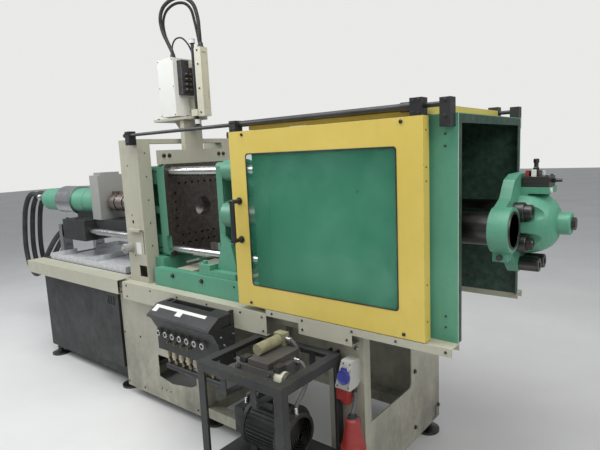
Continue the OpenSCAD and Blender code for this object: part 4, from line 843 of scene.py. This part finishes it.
def add_base_details(m):
    """Screws of the rails, panels, end plate, socket leg and clamp bed."""
    body, dark = "machine", m["dark_steel"]
    rails = grid((-0.25, 0.0, 0.25, 0.5, 0.75, 0.895), -BEAM_Y, -0.452)
    rails += grid((-0.25, 0.9), -BEAM_Y, -0.52)
    rails += grid((0.96, 1.14, 1.4, 1.6, 1.8), -BEAM_Y, -0.4245)
    only_front = grid((1.14, 1.375), -BEAM_Y, -0.466)
    fasteners("front_rail_screws", socket_screw, rails + only_front, FRONT, 0.008, body, dark)
    fasteners("rear_rail_screws", socket_screw, mirrored(rails), REAR, 0.008, body, dark)
    panel = grid((-0.415, -0.24, 0.285), -BASE_HALF, (-0.53, -0.8, -1.14))
    fasteners("side_panel_screws", round_screw, panel, FRONT, 0.013, body, dark)
    rear = grid((-1.6, -1.25, -0.9, -0.46, -0.38, 0.0, 0.45, 0.9, 1.32), BASE_HALF, (-0.49, -1.14))
    fasteners("rear_panel_screws", round_screw, rear, REAR, 0.013, body, dark)
    leg = grid(1.383, -BASE_HALF, (-0.52, -0.84, -1.08))
    fasteners("socket_leg_screws", hex_bolt, leg, FRONT, 0.017, body, m["bright_steel"])
    end = grid(1.416, (0.09, 0.37), (-1.1, -0.8, -0.5))
    fasteners("end_plate_screws", hex_bolt, end, TO_CLAMP, 0.02, body, dark)
    fasteners("bed_bolts", hex_bolt, grid((0.13, 0.384), -0.372, -0.36), FRONT, 0.022, body, dark)


# Bend and lower edge of the desk's front slope, as Y and Z
DESK_BEND = (-0.5395, -0.466)
DESK_FRONT = (-0.6055, -0.509)
# Front face under the desk, and the knobs on it
FACE_Y = -0.5505
KNOB_Z = -0.622
KNOBS_X = [0.229 + 0.06 * k for k in range(7)]
# Blank strips on the slope: ends in X, then ends down the slope from its bend
STRIPS = ((0.208, 0.616, 0.006, 0.024), (0.208, 0.246, 0.0235, 0.052), (0.4, 0.446, 0.0235, 0.05))
STRIP_T = 0.0008
KNOB_RING = ((-0.001, 0.0155), (0.001, 0.0155), (0.0022, 0.0145), (0.0022, 0.0098), (-0.001, 0.0092))
KNOB_CENTRE = ((-0.001, 0.0085), (0.003, 0.0085), (0.0042, 0.007), (0.0042, 0.003, 6), (0.001, 0.0028, 6))
PIPE_UNION = ((0, 0.0125, 6), (0.016, 0.0125, 6), (0.018, 0.0105), (0.03, 0.0105))
PIPE_COLLAR = ((0, 0.0095), (0.003, 0.0125), (0.018, 0.0125), (0.022, 0.0095))
HOSE_NIPPLE = ((0, 0.009, 6), (0.006, 0.009, 6), (0.007, 0.0062), (0.018, 0.0062), (0.02, 0.0048),
               (0.02, 0.003), (0.012, 0.003))


def on_desk(x, down, out=0.0):
    """Point on the desk's front slope: x, distance down the slope from its bend, height above it."""
    run = Vector((0, DESK_FRONT[0] - DESK_BEND[0], DESK_FRONT[1] - DESK_BEND[1])).normalized()
    up = Vector((0, run.z, -run.y))
    return Vector((x, *DESK_BEND)) + run * down + up * out


def add_water_details(m):
    """Blank strips, knob rings, pipe unions, nipples and screws of the water distributor."""
    body, bright = "machine", m["bright_steel"]
    bm = bmesh.new()
    for x0, x1, d0, d1 in STRIPS:
        corners = ((x0, d0), (x1, d0), (x1, d1), (x0, d1))
        low = [bm.verts.new(on_desk(x, d)) for x, d in corners]
        high = [bm.verts.new(on_desk(x, d, STRIP_T)) for x, d in corners]
        bm.faces.new(high[::-1])
        bm.faces.new(low)
        for k in range(4):
            n = (k + 1) % 4
            bm.faces.new((low[k], high[k], high[n], low[n]))
    bmesh.ops.recalc_face_normals(bm, faces=bm.faces)
    add_mesh("desk_strips", bm, body, m["paper"])
    for k, x in enumerate(KNOBS_X, 1):
        at = (x, FACE_Y - 0.02, KNOB_Z)
        turnings(f"knob_ring_{k}", [(KNOB_RING, at, FRONT, 28)], f"water_knob_{k}", bright)
        turnings(f"knob_centre_{k}", [(KNOB_CENTRE, at, FRONT, 24)], f"water_knob_{k}", m["black_plastic"])
    unions = []
    for x in KNOBS_X:
        unions.append((PIPE_UNION, (x, -0.5055, -0.744), DOWN, 24))
        unions.append((PIPE_COLLAR, (x, -0.5055, -0.79), DOWN, 20))
    unions += [(HOSE_NIPPLE, at, FRONT, 18) for at in grid((0.3, 0.357, 0.414, 0.471), FACE_Y, -0.664)]
    turnings("circuit_unions", unions, body, m["brass"])
    screws = [(0.695, -0.532, -0.568), (0.701, -0.455, -0.568),
              (0.695, -0.515, -0.612), (0.701, -0.456, -0.7)]
    fasteners("distributor_screws", socket_screw, screws, TO_CLAMP, 0.009, body, bright)
    desk = [on_desk(x, 0.068) for x in (0.215, 0.675)]
    way = on_desk(0, 0, 1) - on_desk(0, 0)
    fasteners("desk_screws", round_screw, desk, way, 0.009, body, m["dark_steel"])


# Middle of the socket's lid on the box's front, and how far that front leans
LID_AT = Vector((1.372, -0.46502, -0.62))
LID_LEAN = math.radians(11.5)
LID_RIM = ((0.015, 0.029), (0.018, 0.0285), (0.019, 0.026), (0.0165, 0.0235), (0.0165, 0.009),
           (0.0195, 0.008))
BOX_GLAND = ((0, 0.013, 6), (0.01, 0.013, 6), (0.012, 0.0115), (0.02, 0.0095))
PLUG_GLAND = ((-0.004, 0.0215), (0.008, 0.02), (0.01, 0.013), (0.02, 0.0095))
COLLAR_RIB = ((0, 0.0528), (0.0014, 0.0545), (0.0032, 0.0545), (0.0046, 0.0528))
# Height of the lowest rib on the plug's collar, and the pitch of the ribs
RIB_Z = -0.958
RIB_PITCH = 0.0052


def on_socket(x, out, up):
    """Point on the socket box's leaning front."""
    c, s = math.cos(LID_LEAN), math.sin(LID_LEAN)
    return LID_AT + Vector((x, -out * c + up * s, out * s + up * c))


def add_socket_details(m):
    """Screws of the socket box, rim of its lid, cable glands and ribs of the plug."""
    body = "machine"
    way = on_socket(0, 1, 0) - on_socket(0, 0, 0)
    corners = ((-0.012, 0.054), (0.02, 0.054), (0.02, -0.043), (-0.034, -0.043))
    screws = [on_socket(x, 0, z) for x, z in corners]
    fasteners("socket_box_screws", round_screw, screws, way, 0.007, body, m["dark_steel"])
    turnings("lid_rim", [(LID_RIM, LID_AT, way, 32)], "socket_lid", m["blue_plastic"])
    glands = [(BOX_GLAND, PLUG_ROUTE[-1], DOWN, 24), (PLUG_GLAND, PLUG_ROUTE[0], UP, 24)]
    turnings("cable_glands", glands, body, m["black_plastic"])
    x, y = PLUG_ROUTE[0][:2]
    ribs = [(COLLAR_RIB, (x, y, RIB_Z + RIB_PITCH * k), UP, 40) for k in range(6)]
    turnings("plug_collar_ribs", ribs, body, m["red_plastic"])


# Profiles of the crosshead's fittings
COLUMN_SCREW = ((-0.001, 0.0275), (0.003, 0.0275), (0.0045, 0.026), (0.0045, 0.0125, 6), (-0.001, 0.0122, 6))
COLUMN_WASHER = ((-0.001, 0.035), (0.002, 0.034), (0.002, 0.0292), (-0.001, 0.0288))
PLUG_WASHER = ((-0.001, 0.0322), (0.002, 0.031), (0.002, 0.0238), (-0.001, 0.0235))
PLUG_CAP = ((-0.001, 0.0175), (0.003, 0.0165), (0.004, 0.006), (0, 0.006))
LOWER_SCREW = ((-0.001, 0.0268), (0.003, 0.0268), (0.0045, 0.0255), (0.0045, 0.013, 6), (-0.001, 0.0128, 6))
VALVE_STEM = ((-0.002, 0.011, 6), (0.01, 0.011, 6), (0.012, 0.008), (0.028, 0.008), (0.03, 0.0105),
              (0.042, 0.0105), (0.045, 0.007))
VALVE_NIPPLE = ((-0.002, 0.009, 6), (0.008, 0.009, 6), (0.01, 0.0065), (0.03, 0.0065))
PAD_RING = ((-0.001, 0.0105), (0.004, 0.0105), (0.005, 0.0095), (0.005, 0.0055), (0.001, 0.0055))
LOCK_RING = ((0, 0.0605), (0.0025, 0.0605), (0.004, 0.0635), (0.004, 0.068), (0, 0.07))


def add_crosshead_details(m):
    """Recesses, washers, valve caps, lock rings and the small light ring of the crosshead."""
    body, dark = "moving_platen", m["dark_steel"]
    nuts = []
    for y in (-0.125, 0.125):
        nuts.append((COLUMN_SCREW, (2.0, y, 0.053), TO_CLAMP, 28))
        nuts.append((COLUMN_WASHER, (1.976, y, 0.053), TO_CLAMP, 32))
        nuts.append((PLUG_WASHER, (1.984, y, -0.066), TO_CLAMP, 32))
        nuts.append((PLUG_CAP, (2.006, y, -0.066), TO_CLAMP, 24))
    nuts += [(LOWER_SCREW, at, TO_CLAMP, 28) for at in grid(2.008, (-0.04, 0.04), -0.162)]
    nuts.append((VALVE_STEM, (1.982, 0.002, 0.202), UP, 24))
    nuts.append((VALVE_NIPPLE, (2.041, 0.02, 0.162), TO_CLAMP, 24))
    turnings("crosshead_nuts", nuts, body, dark)
    turnings("pad_ring", [(PAD_RING, (2.044, -0.035, 0.128), TO_CLAMP, 24)], body, m["white_plastic"])
    caps = [((1.976, -0.046, 0.1795), (1.992, -0.031, 0.206)),
            ((1.984, 0.032, 0.1795), (2.006, 0.048, 0.198))]
    blocks("valve_caps", caps, body, m["white_plastic"], 0.0015)
    red_cap = [((1.955, -0.046, 0.1795), (1.967, -0.032, 0.204))]
    blocks("valve_red_cap", red_cap, body, m["red_plastic"], 0.0015)
    fasteners("valve_screws", socket_screw, grid(2.03, (-0.041, 0.041), 0.18), UP, 0.01, body, dark)
    rings = [(LOCK_RING, at, TO_CLAMP, 40) for at in grid(1.968, (-TIE_HALF, TIE_HALF), 0)]
    turnings("column_lock_rings", rings, body, dark)


CONNECTOR = ((0, 0.03), (0.006, 0.03), (0.008, 0.026), (0.03, 0.026), (0.032, 0.031), (0.05, 0.031),
             (0.054, 0.026), (0.054, 0.012), (0.07, 0.011))
RAIL_NUT = ((0, 0.017, 6), (0.012, 0.017, 6), (0.014, 0.0125), (0.024, 0.0125), (0.026, 0.006))


def add_portal_details(m):
    """Screws, connector and switch of the portal's front column, nuts of the rail rods."""
    body, dark = "machine", m["dark_steel"]
    bm = bmesh.new()
    for at in grid(-0.105, -0.33, (-0.35, -0.21, -0.07, 0.07, 0.21, 0.35)):
        round_screw(bm, at, TO_CLAMP, 0.009)
    for at in grid(-0.22, -0.378, (-0.27, -0.02, 0.28)):
        round_screw(bm, at, FRONT, 0.009)
    add_mesh("portal_screws", bm, body, dark)
    turnings("portal_connector", [(CONNECTOR, (-0.255, -0.378, -0.225), FRONT, 32)], body, m["grey_paint"])
    switch = [((-0.2, -0.3805, -0.262), (-0.15, -0.3775, -0.188))]
    blocks("portal_switch", switch, body, m["paper"], 0.0008)
    nuts = [(RAIL_NUT, at, TO_UNIT, 24) for at in grid(-0.145, (-0.41, 0.41), 0.455)]
    turnings("rail_end_nuts", nuts, body, dark)


REAR_WIPER = ((0, 0.0275), (0, 0.041), (0.005, 0.041), (0.007, 0.038), (0.007, 0.0275))
FACE_WIPER = ((0, 0.0275), (0, 0.037), (-0.004, 0.036), (-0.004, 0.0275))
# Front flange of the clamp cylinder, and flange between the ram and the moving platen
CYLINDER_X = 0.992
RAM_FLANGE_X = 0.7


def add_clamp_details(m):
    """Wipers of the platen's bushes, screws of the cylinder and of the ram's flange."""
    dark = m["dark_steel"]
    wipers = []
    for x, y, z in grid(0.651, (-TIE_HALF, TIE_HALF), (-TIE_HALF, TIE_HALF)):
        wipers.append((REAR_WIPER, (x, y, z), TO_CLAMP, 32))
        wipers.append((FACE_WIPER, (MOVING_FACE_X, y, z), TO_CLAMP, 32))
    turnings("bush_wipers", wipers, "moving_platen", m["rubber"])
    cylinder = on_circle(CYLINDER_X, 0.118, 12)
    fasteners("cylinder_screws", socket_screw, cylinder, TO_UNIT, 0.013, "machine", dark)
    flange = on_circle(RAM_FLANGE_X, 0.098, 8)
    fasteners("ram_flange_screws", socket_screw, flange, TO_CLAMP, 0.018, "moving_platen", dark)


AIR_FITTING = ((0, 0.0065, 6), (0.006, 0.0065, 6), (0.007, 0.005), (0.013, 0.005), (0.014, 0.0035))
# Gland of a conduit in units of the conduit's diameter
CONDUIT_GLAND = ((-1.2, 0.55), (-0.9, 0.64), (-0.35, 0.66), (-0.3, 0.8, 6), (0.1, 0.8, 6), (0.12, 0.6))
# Lower side of each of the picker's four valves
VALVES_Z = tuple(0.716 + 0.031 * k for k in range(4))


def add_picker_details(m):
    """Valve tops, air fittings, conduit glands, screws and bolts of the sprue picker."""
    body, dark = "picker_swivel", m["dark_steel"]
    ports = [(-0.0142, y, z + 0.0115) for z in VALVES_Z for y in (-0.05, -0.02, 0.01, 0.036)]
    fittings = [(AIR_FITTING, at, TO_CLAMP, 18) for at in ports]
    turnings("air_fittings", fittings, body, m["brass"])
    tops = [((-0.024, -0.054, z + 0.0025), (-0.0128, 0.04, z + 0.0205)) for z in VALVES_Z]
    blocks("valve_tops", tops, body, m["black_plastic"], 0.0012)
    box = grid((-0.216, -0.079), -0.1, (0.581, 0.75, 0.912))
    fasteners("picker_box_screws", round_screw, box, FRONT, 0.008, body, dark)
    guide = grid(0.116, -0.06, (0.58, 0.72, 0.86, 0.94))
    fasteners("picker_guide_screws", socket_screw, guide, FRONT, 0.009, body, dark)
    glands = []
    for d, _, _, route in CONDUITS:
        glands += [(sized(CONDUIT_GLAND, d), at, way, 24) for at, way in both_ends(route)]
    turnings("conduit_glands", glands, body, m["black_plastic"])
    plate = grid((-0.28, 0.012), (-0.08, 0.03), 0.56)
    fasteners("picker_plate_bolts", hex_bolt, plate, UP, 0.018, "machine", dark)
    bracket = grid(-0.012, (-0.262, -0.222, 0.172, 0.212), 0.33)
    fasteners("bracket_bolts", hex_bolt, bracket, TO_CLAMP, 0.021, "machine", dark)


def add_arm_details(m):
    """Light sleeves on the collars of the picker's arm."""
    sleeves = []
    for z, h in ((0.9865, 0.022), (0.5135, 0.027)):
        steps = ((0, 0.0168), (0.0003, 0.0171), (h - 0.0003, 0.0171), (h, 0.0168))
        sleeves.append((steps, (0.066, -0.05, z), UP, 40))
    turnings("arm_sleeves", sleeves, "picker_arm", m["white_plastic"])


# Face of the bench's valve block, axis of its motor as Y and Z, and the fins on it
MANIFOLD_Y = -0.705
MOTOR_AXIS = (-0.61, -0.86)
FIN_COUNT = 40
FINS_X = (1.018, 1.182)
# A fin's foot and tip: distance from the axis and half its thickness there
FIN_SECTION = ((0.099, 0.0018), (0.1085, 0.0009))
COIL = ((0, 0.0293), (0.004, 0.0305), (0.06, 0.0305), (0.066, 0.028), (0.066, 0.014), (0.078, 0.013),
        (0.08, 0.008))


def add_motor_fins(look):
    """Fins round the motor, apart from the top, where its terminal box sits."""
    bm = bmesh.new()
    y, z = MOTOR_AXIS
    for k in range(FIN_COUNT):
        a = 2 * math.pi * k / FIN_COUNT
        c, s = math.cos(a), math.sin(a)
        if abs(c) <= 0.25 and s >= 0:
            continue
        p = [bm.verts.new((x, y + r * c - side * w * s, z + r * s + side * w * c))
             for x in FINS_X for r, w in FIN_SECTION for side in (-1, 1)]
        for q in ((0, 1, 3, 2), (4, 6, 7, 5), (0, 2, 6, 4), (1, 5, 7, 3), (2, 3, 7, 6), (0, 4, 5, 1)):
            bm.faces.new([p[i] for i in q])
    add_mesh("motor_fins", bm, "machine", look)


def add_bench_details(m):
    """Coils, connectors, screws and plugs of the valves, fins and fan guard of the motor, hose ends."""
    body, dark, black = "machine", m["dark_steel"], m["black_plastic"]
    turnings("valve_coil_right", [(COIL, (1.164, -0.67, -0.588), TO_CLAMP, 28)], body, m["cream_metal"])
    short = [(h * 0.9, r) for h, r in COIL]
    turnings("valve_coil_left", [(short, (1.0445, -0.672, -0.588), TO_UNIT, 28)], body, black)
    connectors = [((1.178, -0.692, -0.56), (1.214, -0.648, -0.535)),
                  ((0.99, -0.694, -0.56), (1.028, -0.65, -0.535))]
    blocks("coil_connectors", connectors, body, black, 0.003)
    screws = grid((1.0, 1.17), MANIFOLD_Y, (-0.635, -0.575))
    fasteners("manifold_screws", socket_screw, screws, FRONT, 0.014, body, dark)
    plugs = grid((1.035, 1.085, 1.135), MANIFOLD_Y, -0.61)
    fasteners("manifold_plugs", hex_bolt, plugs, FRONT, 0.024, body, m["bright_steel"])
    add_motor_fins(m["dark_paint"])
    guard = []
    for k in range(6):
        r = 0.018 + 0.012 * k
        ring = ((0, r), (0.0025, r - 0.0005), (0.003, r - 0.003), (0, r - 0.0035))
        guard.append((ring, (1.236, *MOTOR_AXIS), TO_CLAMP, 32))
    turnings("fan_guard_rings", guard, body, dark)
    hose_ends("bench_hose_ends", BENCH_ROUTES, BENCH_HOSE_D, body, m["bright_steel"])


# Heater bands of the barrel: left end of the first, pitch, and where the edges lie on each
BANDS_X = -1.04
BAND_PITCH = 0.105
BAND_EDGES = (0.004, 0.083)
DRUM_X = -1.77


def add_unit_details(m):
    """Edges of the heater bands, hose ends, drum screws and carriage bolts of the injection unit."""
    body, bright, dark = "injection_unit", m["bright_steel"], m["dark_steel"]
    edges = []
    for k in range(5):
        for h in BAND_EDGES:
            steps = ((h, 0.0662), (h, 0.0675), (h + 0.003, 0.0675), (h + 0.003, 0.0662))
            edges.append((steps, (BANDS_X + BAND_PITCH * k, 0, 0), TO_CLAMP, 40))
    turnings("band_edges", edges, body, bright)
    hose_ends("unit_hose_ends", HOSE_ROUTES, HOSE_D, body, bright)
    fasteners("drum_screws", socket_screw, on_circle(DRUM_X, 0.105, 12), TO_UNIT, 0.014, body, dark)
    bolts = grid((-1.49, -1.35, -1.21), (-0.165, 0.165), -0.13)
    fasteners("carriage_bolts", hex_bolt, bolts, UP, 0.022, body, dark)


make_camera()
make_stage()
looks = make_materials()
dress_nodes(looks)
make_cords(looks)
add_hood_details(looks)
add_guard_details(looks)
add_base_details(looks)
add_water_details(looks)
add_socket_details(looks)
add_crosshead_details(looks)
add_portal_details(looks)
add_clamp_details(looks)
add_picker_details(looks)
add_arm_details(looks)
add_bench_details(looks)
add_unit_details(looks)
